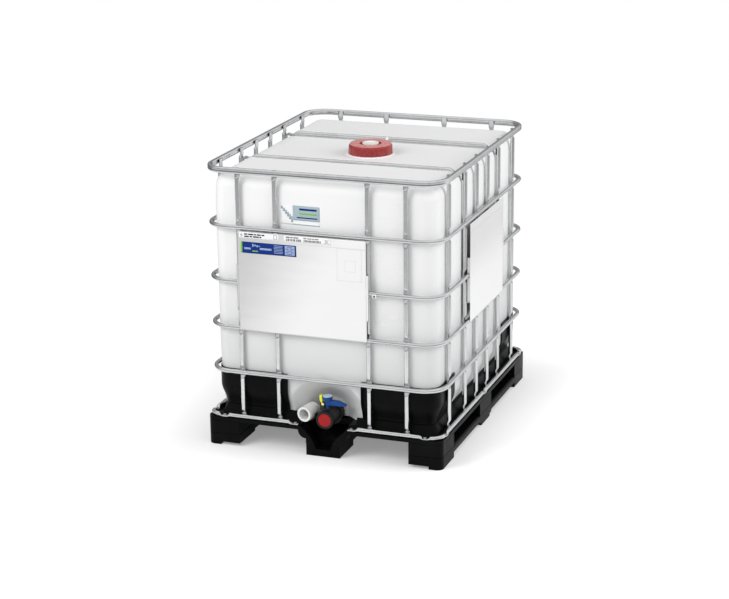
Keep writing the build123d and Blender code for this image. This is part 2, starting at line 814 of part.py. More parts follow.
# Outlet valve: gasket, union nut, body, seat, disc and spindle
flange_back = neck_face + gasket_thickness + 2 * seat_gap
flange_front = flange_back + flange_thickness
spout_face = outlet_face - outlet_lip - outlet_disc_flange - gasket_thickness - 3 * seat_gap
spindle_foot = valve_height - valve_bore_radius - spindle_radius
spindle_spot = (valve_place, -spindle_place)
seat_ends = (spindle_place + seat_half_length, spindle_place - seat_half_length)
disc_radius = valve_bore_radius - disc_clearance
spindle_hole = spindle_radius + bearing_gap
boss_top = valve_height + barrel_radius + boss_rise
blade_top = lever_height + blade_thickness
ear_top = clip_bottom - running_gap
clip_left = valve_place - hub_radius - 2 * running_gap - clip_width

with BuildPart() as neck_gasket:
    add(collar(flange_back - seat_gap, neck_face + seat_gap, neck_radius, valve_bore_radius))
save(neck_gasket, "neck_gasket")

with BuildPart() as union_nut:
    nut_back = recess_back + union_back_gap
    nut_front = flange_front + union_lip
    add(collar(nut_front, nut_back, union_radius, barrel_radius + running_gap))
    add(collar(flange_front + seat_gap, nut_back, flange_radius + running_gap, 0), mode=Mode.SUBTRACT)
    neck_lock = (flange_back - seat_gap, nut_back)
    add(collar(*neck_lock, union_radius - grip_radius, neck_radius + running_gap))
    with BuildSketch(Plane.XZ.offset(nut_back)):
        with Locations((valve_place, valve_height)):
            with PolarLocations(union_radius + grip_radius - grip_depth, grip_count):
                Circle(grip_radius)
    extrude(amount=nut_front - nut_back, mode=Mode.SUBTRACT)
save(union_nut, "union_nut")

with BuildPart() as valve_body:
    body_points = (
        (flange_back, 0),
        (flange_back, flange_radius),
        (flange_front, flange_radius),
        (flange_front, barrel_radius),
        (barrel_front, barrel_radius),
        (barrel_front, spout_radius),
        (spout_face, spout_radius),
        (spout_face, 0),
    )
    add(round_bar(valve_plane, body_points, valve_axis))
    with Locations((*spindle_spot, valve_height)):
        Cylinder(boss_radius, boss_top - valve_height, align=above)
    with Locations((clip_left, -spindle_place, boss_top)):
        Box(valve_place - clip_left, clip_depth, ear_thickness, align=(Align.MIN, Align.CENTER, Align.MAX))
        post_height = ear_top - boss_top
        Box(ear_post_width, clip_depth, post_height, align=(Align.MIN, Align.CENTER, Align.MIN))
    add(collar(spout_face, flange_back, valve_bore_radius, 0), mode=Mode.SUBTRACT)
    add(collar(*seat_ends, valve_bore_radius + seat_depth, 0), mode=Mode.SUBTRACT)
    with Locations((*spindle_spot, spindle_foot)):
        Cylinder(spindle_hole, hub_top, align=above, mode=Mode.SUBTRACT)
save(valve_body, "valve_body")

with BuildPart() as valve_seat:
    add(collar(*seat_ends, valve_bore_radius + seat_depth - seat_gap, valve_bore_radius))
    with Locations((*spindle_spot, valve_height)):
        Cylinder(spindle_radius + running_gap, 4 * valve_bore_radius, mode=Mode.SUBTRACT)
save(valve_seat, "valve_seat")

with BuildPart() as butterfly_disc:
    half_disc = disc_thickness / 2
    add(collar(spindle_place + half_disc, spindle_place - half_disc, disc_radius, 0))
    with Locations((*spindle_spot, valve_height)):
        Cylinder(spindle_radius + half_disc, 2 * disc_radius)
        Sphere(disc_radius, mode=Mode.INTERSECT)
        Cylinder(spindle_hole, 4 * disc_radius, mode=Mode.SUBTRACT)
save(butterfly_disc, "butterfly_disc")

with BuildPart() as spindle:
    with Locations((*spindle_spot, spindle_foot)):
        Cylinder(spindle_radius, hub_top - spindle_foot, align=above)
save(spindle, "spindle")

# Lever: a blade under a round hub, with a collar round the spindle
blade_tip_x = valve_place + lever_reach

with BuildPart() as lever:
    with BuildSketch(Plane.XY.offset(lever_height)):
        with Locations(spindle_spot):
            Circle(blade_root_radius)
        with Locations((blade_tip_x - blade_tip_radius, -spindle_place)):
            Circle(blade_tip_radius)
        make_hull()
    extrude(amount=blade_thickness)
    with BuildSketch(Plane.XZ.offset(spindle_place)):
        with BuildLine():
            Polyline(
                (valve_place, blade_top),
                (valve_place, lever_height),
                (blade_tip_x - blade_slope_length, lever_height),
                (blade_tip_x, lever_height + blade_tip_bottom),
                (blade_tip_x, lever_height + blade_tip_top),
                (blade_tip_x - blade_slope_length, blade_top),
                close=True,
            )
        make_face()
    extrude(amount=blade_root_radius, both=True, mode=Mode.INTERSECT)
    with Locations((*spindle_spot, lever_height)):
        Cylinder(blade_root_radius, blade_thickness, align=above)
    with Locations((*spindle_spot, blade_top)):
        Cylinder(hub_radius, hub_top - blade_top, align=above)
    with Locations((*spindle_spot, boss_top + running_gap)):
        Cylinder(collar_radius, blade_top - boss_top, align=above)
    with Locations((*spindle_spot, valve_height)):
        Cylinder(spindle_hole, hub_top, align=above, mode=Mode.SUBTRACT)
save(lever, "lever")

with BuildPart() as hub_cap:
    with Locations((*spindle_spot, hub_top + seat_gap)):
        Cylinder(hub_radius, hub_cap_thickness, align=above)
    fillet(hub_cap.edges().group_by(Axis.Z)[-1], hub_cap_thickness / 3)
save(hub_cap, "hub_cap")

clip_right = clip_left + clip_width
clip_rear = spindle_place - clip_depth / 2
clip_front = spindle_place + clip_depth / 2 + running_gap + clip_front_lap
button_right = valve_place - blade_root_radius - 2 * running_gap
button_centre = (button_right - button_width / 2, clip_bottom + button_lap - button_height / 2)

with BuildPart() as safety_clip:
    with BuildSketch(Plane.XZ.offset(clip_rear)):
        with BuildLine():
            Polyline(
                (clip_left, clip_top),
                (clip_right, clip_top),
                (clip_right, clip_bottom),
                (clip_left + clip_bevel_width, clip_bottom),
                (clip_left, clip_bottom + clip_bevel_height),
                close=True,
            )
        make_face()
    extrude(amount=clip_front - clip_rear)
save(safety_clip, "safety_clip")

with BuildPart() as clip_button:
    with BuildSketch(Plane.XZ.offset(clip_front + seat_gap)):
        with Locations(button_centre):
            SlotOverall(button_width, button_height)
    extrude(amount=button_thickness)
save(clip_button, "clip_button")

# Outlet cap: a ring nut that holds a disc and its seal against the spout
seal_front = spout_face + seat_gap + gasket_thickness
disc_back = seal_front + seat_gap
disc_shoulder = disc_back + outlet_disc_flange
disc_flange_radius = spout_radius + outlet_lap

with BuildPart() as outlet_seal:
    add(collar(seal_front, spout_face + seat_gap, disc_flange_radius, valve_bore_radius))
save(outlet_seal, "outlet_seal")

with BuildPart() as outlet_disc:
    add(collar(disc_shoulder, disc_back, disc_flange_radius, 0))
    add(collar(outlet_face, disc_back, outlet_window_radius - running_gap, 0))
save(outlet_disc, "outlet_disc")

with BuildPart() as outlet_nut:
    nut_lip_back = disc_shoulder + seat_gap
    nut_face = nut_lip_back + outlet_lip
    nut_foot = spout_face - outlet_thread_length
    outlet_nut_points = (
        (nut_face, outlet_window_radius),
        (nut_face, outlet_nut_radius - outlet_nut_bevel),
        (nut_face - outlet_nut_bevel, outlet_nut_radius),
        (nut_foot, outlet_nut_radius),
        (nut_foot, spout_radius + running_gap),
        (spout_face, spout_radius + running_gap),
        (spout_face, disc_flange_radius + running_gap),
        (nut_lip_back, disc_flange_radius + running_gap),
        (nut_lip_back, outlet_window_radius),
    )
    add(round_bar(valve_plane, outlet_nut_points, valve_axis))
save(outlet_nut, "outlet_nut")

# Spare drain pipe in its cradle, left of the valve
with BuildPart() as drain_pipe:
    with BuildSketch(pipe_mouth):
        Circle(pipe_radius)
        Circle(pipe_bore_radius, mode=Mode.SUBTRACT)
    extrude(amount=-pipe_length)
    chamfer(drain_pipe.edges().filter_by(GeomType.CIRCLE), pipe_bevel)
save(drain_pipe, "drain_pipe")

with BuildPart() as pipe_cradle:
    cradle_radius = pipe_radius + running_gap
    cradle_outer = cradle_radius + cradle_wall
    cradle_drop = pipe_height - tray_floor
    with BuildSketch(pipe_mouth.offset(-cradle_place)):
        Circle(cradle_outer)
        with Locations((-cradle_outer, -cradle_drop)):
            Rectangle(cradle_foot_width, cradle_drop, align=(Align.MIN, Align.MIN))
        Circle(cradle_radius, mode=Mode.SUBTRACT)
        Rectangle(2 * cradle_outer, cradle_outer, align=(Align.CENTER, Align.MIN), mode=Mode.SUBTRACT)
    extrude(amount=-cradle_length)
save(pipe_cradle, "pipe_cradle")

# Plates hooked over the cage's outside, and bare labels on the front plate and the bottle
plate_inset = cage_edge_gap - seat_gap - plate_thickness
plate_front = half_length - plate_inset
fold_height = plate_top - plate_fold
on_plane = (Align.CENTER, Align.MIN, Align.MIN)
side_wall = Location((half_width - plate_inset, 0, 0), (0, 0, 90))
plate_walls = (
    ("front_plate", front_plate_left, front_plate_right, Location((0, -plate_front, 0))),
    ("side_plate", side_plate_front, side_plate_rear, side_wall),
)
middle_ring = ring_heights[2]
hook_runs = (
    (plate_tab_bottom, middle_ring - tube_radius - running_gap),
    (middle_ring + tube_radius + running_gap, plate_tab_top),
)

for label, start, end, wall in plate_walls:
    middle = (start + end) / 2
    with BuildPart() as plate:
        with Locations(wall * Location((middle, 0, plate_bottom))):
            Box(end - start, plate_thickness, fold_height - plate_bottom, align=on_plane)
        with Locations(wall * Location((middle, plate_fold_depth, fold_height))):
            Box(end - start, plate_thickness, plate_fold, align=on_plane)
        for edge, side in ((start, -1), (end, 1)):
            with Locations(wall * Location((edge + side * plate_tab_width / 2, 0, plate_tab_bottom))):
                Box(plate_tab_width, plate_thickness, plate_tab_top - plate_tab_bottom, align=on_plane)
            for hook_bottom, hook_top in hook_runs:
                hook_x = edge + side * (plate_tab_width - plate_thickness / 2)
                with Locations(wall * Location((hook_x, 0, hook_bottom))):
                    Box(plate_thickness, plate_tab_depth, hook_top - hook_bottom, align=on_plane)
    save(plate, label)

strip_top = plate_top - strip_margin
strips = [
    (*span, strip_top - strip_height, strip_top, plate_front - plate_fold_depth)
    for span in strip_spans
]
stickers = {
    "plate_stickers": [*strips, (*label_span, label_bottom, label_top, plate_front)],
    "bottle_sticker": [(*bottle_label_span, bottle_label_bottom, bottle_label_top, bottle_face)],
}
for label, patches in stickers.items():
    with BuildPart() as sticker:
        for left, right, bottom, top, distance in patches:
            with Locations(((left + right) / 2, -distance, bottom)):
                patch_align = (Align.CENTER, Align.MAX, Align.MIN)
                Box(right - left, label_thickness, top - bottom, align=patch_align)
    save(sticker, label)

with BuildPart() as cage_tag:
    with Locations((tag_place, -(half_length - cage_edge_gap + seat_gap), middle_ring + running_gap)):
        Box(tag_size, tag_thickness, tag_size, align=(Align.CENTER, Align.MAX, Align.MAX))
save(cage_tag, "cage_tag")
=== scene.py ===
import math

import bmesh
import bpy
import numpy as np
from mathutils import Matrix, Vector


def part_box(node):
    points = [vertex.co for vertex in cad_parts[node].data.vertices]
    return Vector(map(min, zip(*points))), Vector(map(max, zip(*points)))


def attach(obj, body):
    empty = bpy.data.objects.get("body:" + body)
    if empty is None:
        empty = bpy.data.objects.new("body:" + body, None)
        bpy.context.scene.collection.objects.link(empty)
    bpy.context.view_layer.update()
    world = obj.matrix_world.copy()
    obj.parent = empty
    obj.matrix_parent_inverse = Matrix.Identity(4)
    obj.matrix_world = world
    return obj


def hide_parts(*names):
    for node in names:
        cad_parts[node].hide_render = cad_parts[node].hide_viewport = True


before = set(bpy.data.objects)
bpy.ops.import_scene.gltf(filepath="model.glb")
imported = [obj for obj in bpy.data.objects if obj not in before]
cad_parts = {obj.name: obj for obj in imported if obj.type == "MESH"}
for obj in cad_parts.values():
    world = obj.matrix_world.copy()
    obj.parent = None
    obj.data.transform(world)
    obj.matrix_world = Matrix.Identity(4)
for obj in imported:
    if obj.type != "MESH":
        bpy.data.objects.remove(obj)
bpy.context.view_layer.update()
millimetre = 0.001  # the dictionaries below give lengths in millimetres


# a node's lowest and highest corners in millimetres
def nodeBox(node):
    low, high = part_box(node)
    return np.array(low) / millimetre, np.array(high) / millimetre


# height of a node's middle
def middleHeight(node):
    low, high = nodeBox(node)
    return (low[2] + high[2]) / 2


# a smooth change from 0 to 1: t squared times (3 - 2t)
def smoothStep(t):
    t = np.clip(t, 0.0, 1.0)
    return t * t * (3 - 2 * t)


# the value a share of the way from first to last
def partWay(first, last, share):
    return first + share * (last - first)


# the smaller of two arrays, with a rounded change from one to the other
def softMin(first, second, width):
    share = np.clip(0.5 + 0.5 * (second - first) / width, 0.0, 1.0)
    return second * (1 - share) + first * share - width * share * (1 - share)


# evenly spaced angles once round
def roundAngles(count):
    return np.linspace(0, 2 * np.pi, count, endpoint=False)


# points from their x, y and z: numbers and arrays that spread to one shape
def pointsOf(*parts):
    return np.stack(np.broadcast_arrays(*parts), -1)


# runs of values one after another: each run holds numbers and arrays that spread to one length
def joinedRuns(*runs):
    return np.vstack([pointsOf(*run) for run in runs]).T


# collects grids of points in millimetres and joins them into one mesh
class Skin:
    def __init__(self):
        self.points, self.faces, self.total = [], [], 0

    # adds points, and faces whose corners count on from the points already there
    def take(self, points, faces):
        self.points.append(points)
        self.faces += [[corner + self.total for corner in face] for face in faces]
        self.total += len(points)

    # quads between neighbours of an (n, m, 3) grid, and fans from the middle of a capped end row
    def grid(self, rows, wrapRows=False, wrapColumns=True, caps=False, flip=False):
        n, m = rows.shape[:2]
        index = np.arange(n * m).reshape(n, m)
        if wrapRows:
            index = np.vstack([index, index[:1]])
        if wrapColumns:
            index = np.hstack([index, index[:, :1]])
        corners = [index[:-1, :-1], index[:-1, 1:], index[1:, 1:], index[1:, :-1]]
        quads = np.stack(corners, -1).reshape(-1, 4)
        points = rows.reshape(-1, 3)
        fans = np.zeros((0, 3), int)
        if caps:
            first, last = index[0], index[-1]
            start = np.stack([first[1:], first[:-1], np.full(len(first) - 1, n * m)], -1)
            end = np.stack([last[:-1], last[1:], np.full(len(last) - 1, n * m + 1)], -1)
            fans = np.vstack([start, end])
            points = np.vstack([points, rows[0].mean(0), rows[-1].mean(0)])
        if caps or (wrapRows and wrapColumns):  # a closed form: its volume says which way the faces point
            halves = np.vstack([quads[:, :3], quads[:, [0, 2, 3]], fans])
            a, b, c = (points[halves[:, k]] for k in range(3))
            flip = np.einsum("ij,ij->", a, np.cross(b, c)) < 0
        if flip:
            quads, fans = quads[:, ::-1], fans[:, ::-1]
        self.take(points, quads.tolist() + fans.tolist())


# a new object with its data, in the scene
def newObject(name, data):
    made = bpy.data.objects.new(name, data)
    bpy.context.scene.collection.objects.link(made)
    return made


# the piece that stands for a CAD node: front_plate becomes frontPlate
def pieceName(node):
    first, *others = node.split("_")
    return first + "".join(word.title() for word in others)


# a piece from a skin of grids
def addPiece(name, skin, material, replaces=(), sharpDegrees=50):
    mesh = bpy.data.meshes.new(name)
    mesh.from_pydata((np.vstack(skin.points) * millimetre).tolist(), [], skin.faces)
    mesh.update()
    return placePiece(name, mesh, material, "container", replaces, sharpDegrees)


# a mesh becomes a piece: smooth but for its sharp edges, on its body, in the place of its CAD nodes
def placePiece(name, mesh, material, body, replaces, sharpDegrees):
    mesh.shade_smooth()
    mesh.set_sharp_from_angle(angle=math.radians(sharpDegrees))
    mesh.materials.clear()
    mesh.materials.append(material)
    piece = newObject(name, mesh)
    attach(piece, body)
    if replaces:
        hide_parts(*replaces)
    return piece


# a sheet gets its thickness inwards from its outer face
def thicken(piece, thickness):
    wall = piece.modifiers.new("wall", "SOLIDIFY")
    wall.thickness = thickness * millimetre
    wall.offset = -1.0


# a CAD solid again, with its flat faces whole and its edges rounded
def roundedCopy(node, width, material, slotName, body="container", sharpDegrees=32):
    shape = bmesh.new()
    shape.from_mesh(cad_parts[node].data)
    bmesh.ops.remove_doubles(shape, verts=shape.verts, dist=4e-6)
    bmesh.ops.dissolve_limit(shape, angle_limit=math.radians(0.4), verts=shape.verts, edges=shape.edges)
    name = pieceName(node)
    mesh = bpy.data.meshes.new(name)
    shape.to_mesh(mesh)
    shape.free()
    piece = placePiece(name, mesh, material, body, (node,), sharpDegrees)
    edge = piece.modifiers.new("edge", "BEVEL")
    edge.width = width * millimetre
    edge.segments = 2
    edge.limit_method = "ANGLE"
    edge.angle_limit = math.radians(sharpDegrees)
    edge.harden_normals = True


# one output socket of a node; arithmetic on it adds Math nodes
class Wire:
    def __init__(self, shading, socket):
        self.shading, self.socket = shading, socket

    def __add__(self, other):
        return self.shading.maths("ADD", self, other)

    def __radd__(self, other):
        return self.shading.maths("ADD", other, self)

    def __sub__(self, other):
        return self.shading.maths("SUBTRACT", self, other)

    def __rsub__(self, other):
        return self.shading.maths("SUBTRACT", other, self)

    def __mul__(self, other):
        return self.shading.maths("MULTIPLY", self, other)

    def __rmul__(self, other):
        return self.shading.maths("MULTIPLY", other, self)


# the nodes of one material or world
class Shading:
    def __init__(self, owner):
        self.owner = owner
        owner.use_nodes = True
        self.tree = owner.node_tree
        self.tree.nodes.clear()

    # a node of a kind: its settings first, then the values or links of its sockets
    def node(self, kind, sockets=None, settings=None, output=0):
        made = self.tree.nodes.new(kind)
        for setting, value in (settings or {}).items():
            setattr(made, setting, value)
        for key, value in (sockets or {}).items():
            if isinstance(value, Wire):
                self.tree.links.new(value.socket, made.inputs[key])
            else:
                made.inputs[key].default_value = value
        return Wire(self, made.outputs[output] if made.outputs else None)

    # one Math node
    def maths(self, operation, first, second=0.0):
        return self.node("ShaderNodeMath", {0: first, 1: second}, {"operation": operation})

    # distance of a value from a middle
    def apart(self, value, middle):
        return self.maths("ABSOLUTE", value - middle)

    # x, y and z of the shaded point
    def axes(self, coordinates="Object"):
        spot = self.node("ShaderNodeTexCoord", output=coordinates)
        split = self.node("ShaderNodeSeparateXYZ", {0: spot})
        return [Wire(self, socket) for socket in split.socket.node.outputs]

    # noise over the object, finer along an axis by its stretch
    def noise(self, scale, detail=3.0, rough=0.55, stretch=(1, 1, 1)):
        spot = self.node("ShaderNodeTexCoord", output="Object")
        place = self.node("ShaderNodeMapping", {"Vector": spot, "Scale": stretch})
        sockets = {"Vector": place, "Scale": scale, "Detail": detail, "Roughness": rough}
        return self.node("ShaderNodeTexNoise", sockets)

    # a smooth change from start to end while a value goes from low to high
    def between(self, value, low, high, start=0.0, end=1.0):
        sockets = {0: value, 1: low, 2: high, 3: start, 4: end}
        return self.node("ShaderNodeMapRange", sockets, {"interpolation_type": "SMOOTHSTEP"})

    # the colour a share of the way from first to second
    def mix(self, share, first, second):
        sockets = {0: share}
        for key, colour in ((6, first), (7, second)):
            sockets[key] = colour if isinstance(colour, Wire) else (*colour, 1.0)
        return self.node("ShaderNodeMix", sockets, {"data_type": "RGBA"}, 2)

    # a normal that follows a height
    def bump(self, height, strength, distance):
        sockets = {"Height": height, "Strength": strength, "Distance": distance}
        return self.node("ShaderNodeBump", sockets)

    # the shader: constants are set on its own sockets
    def finish(self, colour, roughness, metallic=0.0, normal=None, **constants):
        sockets = {"Base Color": colour, "Roughness": roughness, "Metallic": metallic}
        if normal:
            sockets["Normal"] = normal
        sockets.update({key.replace("_", " "): value for key, value in constants.items()})
        surface = self.node("ShaderNodeBsdfPrincipled", sockets)
        self.node("ShaderNodeOutputMaterial", {"Surface": surface})
        return self.owner


# the shading of a new material
def newShading(name):
    return Shading(bpy.data.materials.new(name))


# zinc on steel tube: bright and smooth, with faint clouds of spangle
def galvanisedTube():
    look = {"dark": (0.62, 0.63, 0.64), "light": (0.76, 0.77, 0.78), "spangle": 60.0, "roughness": 0.07}
    shade = newShading("galvanisedTube")
    spangle = shade.between(shade.noise(look["spangle"], 3.0), 0.35, 0.65)
    cloud = shade.between(shade.noise(9.0, 2.0), 0.35, 0.65)
    colour = shade.mix(spangle * 0.3 + cloud * 0.5, look["dark"], look["light"])
    normal = shade.bump(shade.noise(90.0, 2.0), 0.008, 0.0004)
    return shade.finish(colour, look["roughness"] + 0.05 * spangle + 0.05 * cloud, 1.0, normal)


# thin pale sheet: painted shade, greyer towards the left in front and towards the top at the side, with
# a faint line of painted shade along the fold, and very faint rolling streaks
def paleSheet():
    look = {
        "dark": (0.53, 0.53, 0.53), "light": (0.87, 0.87, 0.87), "roughness": 0.36,
        "fold": 0.873, "foldHalf": 0.003, "sideFrom": 0.49, "sideTo": 0.495,
    }
    shade = newShading("paleSheet")
    x, _, z = shade.axes()
    streaks = shade.noise(6.0, 3.0, 0.5, (1.0, 1.0, 5.0))
    # painted shade: the sheet greys towards its left on the front plate and towards its top on the side
    # plate
    paintedLightShare = shade.between(x - 0.5 * z + 0.08 * streaks, -0.74, -0.28)
    onSide = shade.between(x, look["sideFrom"], look["sideTo"])
    paintedLightShare = paintedLightShare * (1 - 0.5 * onSide * shade.between(z, 0.62, 0.84))
    # painted shade in the fold's crease: a faint darker line along it
    fold = shade.between(shade.apart(z, look["fold"]), 0.0, look["foldHalf"], 0.5, 0.0)
    colour = shade.mix((paintedLightShare * 0.94 + streaks * 0.06) * (1 - fold), look["dark"], look["light"])
    normal = shade.bump(shade.noise(4.0, 1.0), 0.08, 0.004)
    return shade.finish(colour, look["roughness"] + 0.04 * streaks, 0.0, normal, Specular_IOR_Level=0.5)


# black polyethylene: fine grain, cloudy sheen, pale scuffs stretched up and down
def blackPolyethylene():
    look = {"body": (0.0022, 0.0023, 0.0024), "worn": (0.007, 0.0071, 0.0072), "roughness": 0.38}
    shade = newShading("blackPolyethylene")
    cloud = shade.between(shade.noise(11.0, 5.0), 0.35, 0.75)
    scuffs = shade.between(shade.noise(70.0, 6.0, 0.7, (1.0, 1.0, 0.3)), 0.58, 0.8)
    colour = shade.mix(cloud * 0.35 + scuffs * 0.45, look["body"], look["worn"])
    normal = shade.bump(shade.noise(420.0, 3.0), 0.10, 0.0005)
    roughness = look["roughness"] - 0.08 * cloud + 0.08 * scuffs
    return shade.finish(colour, roughness, 0.0, normal, Specular_IOR_Level=0.07)


# natural polyethylene: milky, a little greyer low down from painted shade, with a soft seam over the top
def milkyPolyethylene():
    look = {"low": (0.64, 0.645, 0.645), "high": (0.87, 0.872, 0.87), "roughness": 0.36, "seam": 0.008}
    shade = newShading("milkyPolyethylene")
    _, y, z = shade.axes()
    cloud = shade.noise(4.0, 3.0)
    # painted shade: the colour greys from the top of the bottle down towards its foot
    rise = shade.between(z + 0.12 * cloud, 0.15, 0.95)
    colour = shade.mix(rise, look["low"], look["high"])
    seam = shade.between(shade.apart(y, look["seam"]), 0.0, 0.004, 1.0, 0.0)
    height = seam * shade.between(z, 1.08, 1.10) + 0.25 * shade.noise(26.0, 3.0)
    normal = shade.bump(height, 0.25, 0.0015)
    return shade.finish(colour, look["roughness"] + 0.06 * cloud, 0.0, normal)


# moulded plastic of one colour, with faint clouds and a fine grain; the cap's flat top may carry a paler
# painted sheen
def mouldedPlastic(name, dark, light, roughness, gloss=0.4, grain=300.0, paintedSheen=None):
    shade = newShading(name)
    cloud = shade.between(shade.noise(28.0, 4.0), 0.3, 0.7)
    colour = shade.mix(cloud, dark, light)
    if paintedSheen:
        # painted sheen: the cap's flat top turns paler, as where it catches the light from above
        fade = shade.between(shade.axes()[2], 1.1535, 1.1558)
        colour = shade.mix(fade * (0.85 + 0.15 * cloud), colour, paintedSheen)
    normal = shade.bump(shade.noise(grain, 2.0), 0.08, 0.0004)
    return shade.finish(colour, roughness + 0.08 * cloud, 0.0, normal, Specular_IOR_Level=gloss)


# zinc plate on the screws and the spindle: duller than the tube, with small clouds
def zincScrew():
    look = {"dark": (0.55, 0.54, 0.52), "light": (0.74, 0.73, 0.71), "roughness": 0.28}
    shade = newShading("zincScrew")
    cloud = shade.between(shade.noise(160.0, 3.0), 0.3, 0.7)
    colour = shade.mix(cloud, look["dark"], look["light"])
    return shade.finish(colour, look["roughness"] + 0.15 * cloud, 1.0, shade.bump(cloud, 0.1, 0.0004))


# printed film: one ink with a faint fibre under it
def printedFilm(name, colour):
    shade = newShading(name)
    fibre = shade.noise(240.0, 4.0)
    pale = tuple(min(1.0, part * 1.07 + 0.004) for part in colour)
    ink = shade.mix(shade.between(fibre, 0.3, 0.7), colour, pale)
    return shade.finish(ink, 0.4 + 0.05 * fibre, Specular_IOR_Level=0.08)


galvanised = galvanisedTube()
sheet = paleSheet()
black = blackPolyethylene()
milky = milkyPolyethylene()
red = mouldedPlastic("redPolyethylene", (0.31, 0.004, 0.005), (0.40, 0.006, 0.007), 0.28, 0.3)
# the fill cap's red, with a painted sheen on its flat top
capRed = mouldedPlastic(
    "paintedSheenCap", (0.25, 0.006, 0.006), (0.32, 0.010, 0.010), 0.24, 0.95, paintedSheen=(0.72, 0.26, 0.24)
)
white = mouldedPlastic("whitePlastic", (0.76, 0.76, 0.75), (0.83, 0.83, 0.82), 0.3)
blue = mouldedPlastic("bluePlastic", (0.009, 0.055, 0.23), (0.014, 0.072, 0.28), 0.38, 0.2)
paleBlue = mouldedPlastic("paleBluePlastic", (0.48, 0.60, 0.72), (0.56, 0.67, 0.78), 0.3)
yellow = mouldedPlastic("yellowPlastic", (0.76, 0.78, 0.03), (0.84, 0.86, 0.06), 0.4)
paleYellow = mouldedPlastic("paleYellowPlastic", (0.72, 0.76, 0.28), (0.78, 0.82, 0.36), 0.4)
darkPlastic = mouldedPlastic("darkPlastic", (0.006, 0.006, 0.007), (0.012, 0.012, 0.013), 0.34, 0.25)
bodyPlastic = mouldedPlastic("bodyPlastic", (0.034, 0.031, 0.028), (0.046, 0.042, 0.038), 0.42, 0.25)
rubber = mouldedPlastic("sealRubber", (0.012, 0.012, 0.012), (0.022, 0.022, 0.022), 0.62, 0.2, 500.0)
scaleWhite = mouldedPlastic("scaleWhite", (0.92, 0.92, 0.92), (0.95, 0.95, 0.95), 0.3)
screwMetal = zincScrew()
print("stage: materials ready")

# shared sizes of the walls: everything that stands round the bottle keeps these corner centres
walls = {
    "halfX": 500, "halfY": 600, "cornerX": 404.6, "cornerY": 504.6,
    "bottleReach": 60, "guardReach": 64.7,
    "flankTop": 245, "flankFoot": 165, "flankDepth": 21.2,
}
facing = {"front": (0, -1), "rear": (0, 1), "right": (1, 0), "left": (-1, 0)}


# points on a wall: along goes anticlockwise round the container, out is the distance from its middle
def onWall(wall, along, out, z):
    outX, outY = facing[wall]
    return pointsOf(out * outX - along * outY, out * outY + along * outX, z)


# points and outward directions round a rectangle of corner centres: along each side, and a quarter
# turn on the spot at each corner, from the front left corner, anticlockwise
def rectangleLoop(cx, cy, alongX, alongY, cornerSteps):
    turn = np.linspace(0, np.pi / 2, cornerSteps + 2)[1:-1]
    x, y, angle = joinedRuns(
        (alongX, -cy, -np.pi / 2), (cx, -cy, turn - np.pi / 2),
        (cx, alongY, 0.0), (cx, cy, turn),
        (alongX[::-1], cy, np.pi / 2), (-cx, cy, turn + np.pi / 2),
        (-cx, alongY[::-1], np.pi), (-cx, -cy, turn + np.pi),
    )
    return np.stack([x, y], -1), np.stack([np.cos(angle), np.sin(angle)], -1)


# how far the walls step in at height z, below their flank
def flankInset(z):
    fall = (walls["flankTop"] - z) / (walls["flankTop"] - walls["flankFoot"])
    return walls["flankDepth"] * smoothStep(fall)


tubeRadius = 9.0  # every tube of the cage

# uprights: round tube, pressed to an oval where it crosses a ring
uprights = {
    "inset": 21.5, "pressedWidth": 12, "pressedDepth": 5.4, "flatHalf": 12, "taper": 16,
    "front": (-348, -192, 192, 348), "rear": (-347, -133, 133, 347),
    "side": (-444, -234, -77, 77, 234, 444), "topPressed": 1114,
    "dent": 1.6, "dentWidth": 4, "dentHeight": 5,
    "around": 28, "coarseStep": 14, "fineStep": 2, "fineReach": 34,
}
ringNodes = ["cage_ring_4", "cage_ring_3", "cage_ring_2", "cage_ring_1"]
ringHeights = [middleHeight(node) for node in ringNodes]
uprightFoot, uprightTop = (corner[2] for corner in nodeBox("front_uprights"))
railHeight = middleHeight("bottom_rail")


# how far the tube is pressed at each height, from round (0) to oval (1), and where it has its dents,
# a little above and below each crossing
def uprightPressing(heights):
    flat, taper = uprights["flatHalf"], uprights["taper"]
    away = np.abs(heights[:, None] - np.array([railHeight, *ringHeights])).min(1)
    pressed = smoothStep(1 - (away - flat) / taper)
    pressed = np.maximum(pressed, smoothStep((heights - uprights["topPressed"]) / taper))
    dented = np.exp(-(((away - flat - 0.62 * taper) / uprights["dentHeight"]) ** 2))
    return pressed, dented * (heights > railHeight + flat)


# heights of the rows: coarse along the plain tube, fine where it is pressed
def uprightHeights():
    step, reach = uprights["fineStep"], uprights["fineReach"]
    rows = [np.arange(uprightFoot, uprightTop, uprights["coarseStep"]), [uprightTop]]
    rows += [np.arange(z - reach, z + reach + 0.1, step) for z in ringHeights]
    rows += [np.arange(uprightFoot, railHeight + reach, step)]
    rows += [np.arange(uprights["topPressed"] - 6, uprightTop, step)]
    every = np.unique(np.round(np.concatenate(rows), 2))
    return every[(every >= uprightFoot) & (every <= uprightTop)]


# tubes up one wall: an oval at each height, whose inner face stays in one plane
def uprightSkin(wall, places, line):
    skin = Skin()
    heights = uprightHeights()
    pressed, dented = (part[:, None] for part in uprightPressing(heights))
    angle = roundAngles(uprights["around"])
    width = partWay(tubeRadius, uprights["pressedWidth"], pressed)
    depth = partWay(tubeRadius, uprights["pressedDepth"], pressed)
    across = width * np.cos(angle)
    hollow = uprights["dent"] * dented * np.exp(-((across / uprights["dentWidth"]) ** 2))
    out = depth * (1 + np.sin(angle)) - tubeRadius - hollow * (np.sin(angle) > 0)
    for place in places:
        skin.grid(onWall(wall, place + across, line + out, heights[:, None]), caps=True)
    return skin


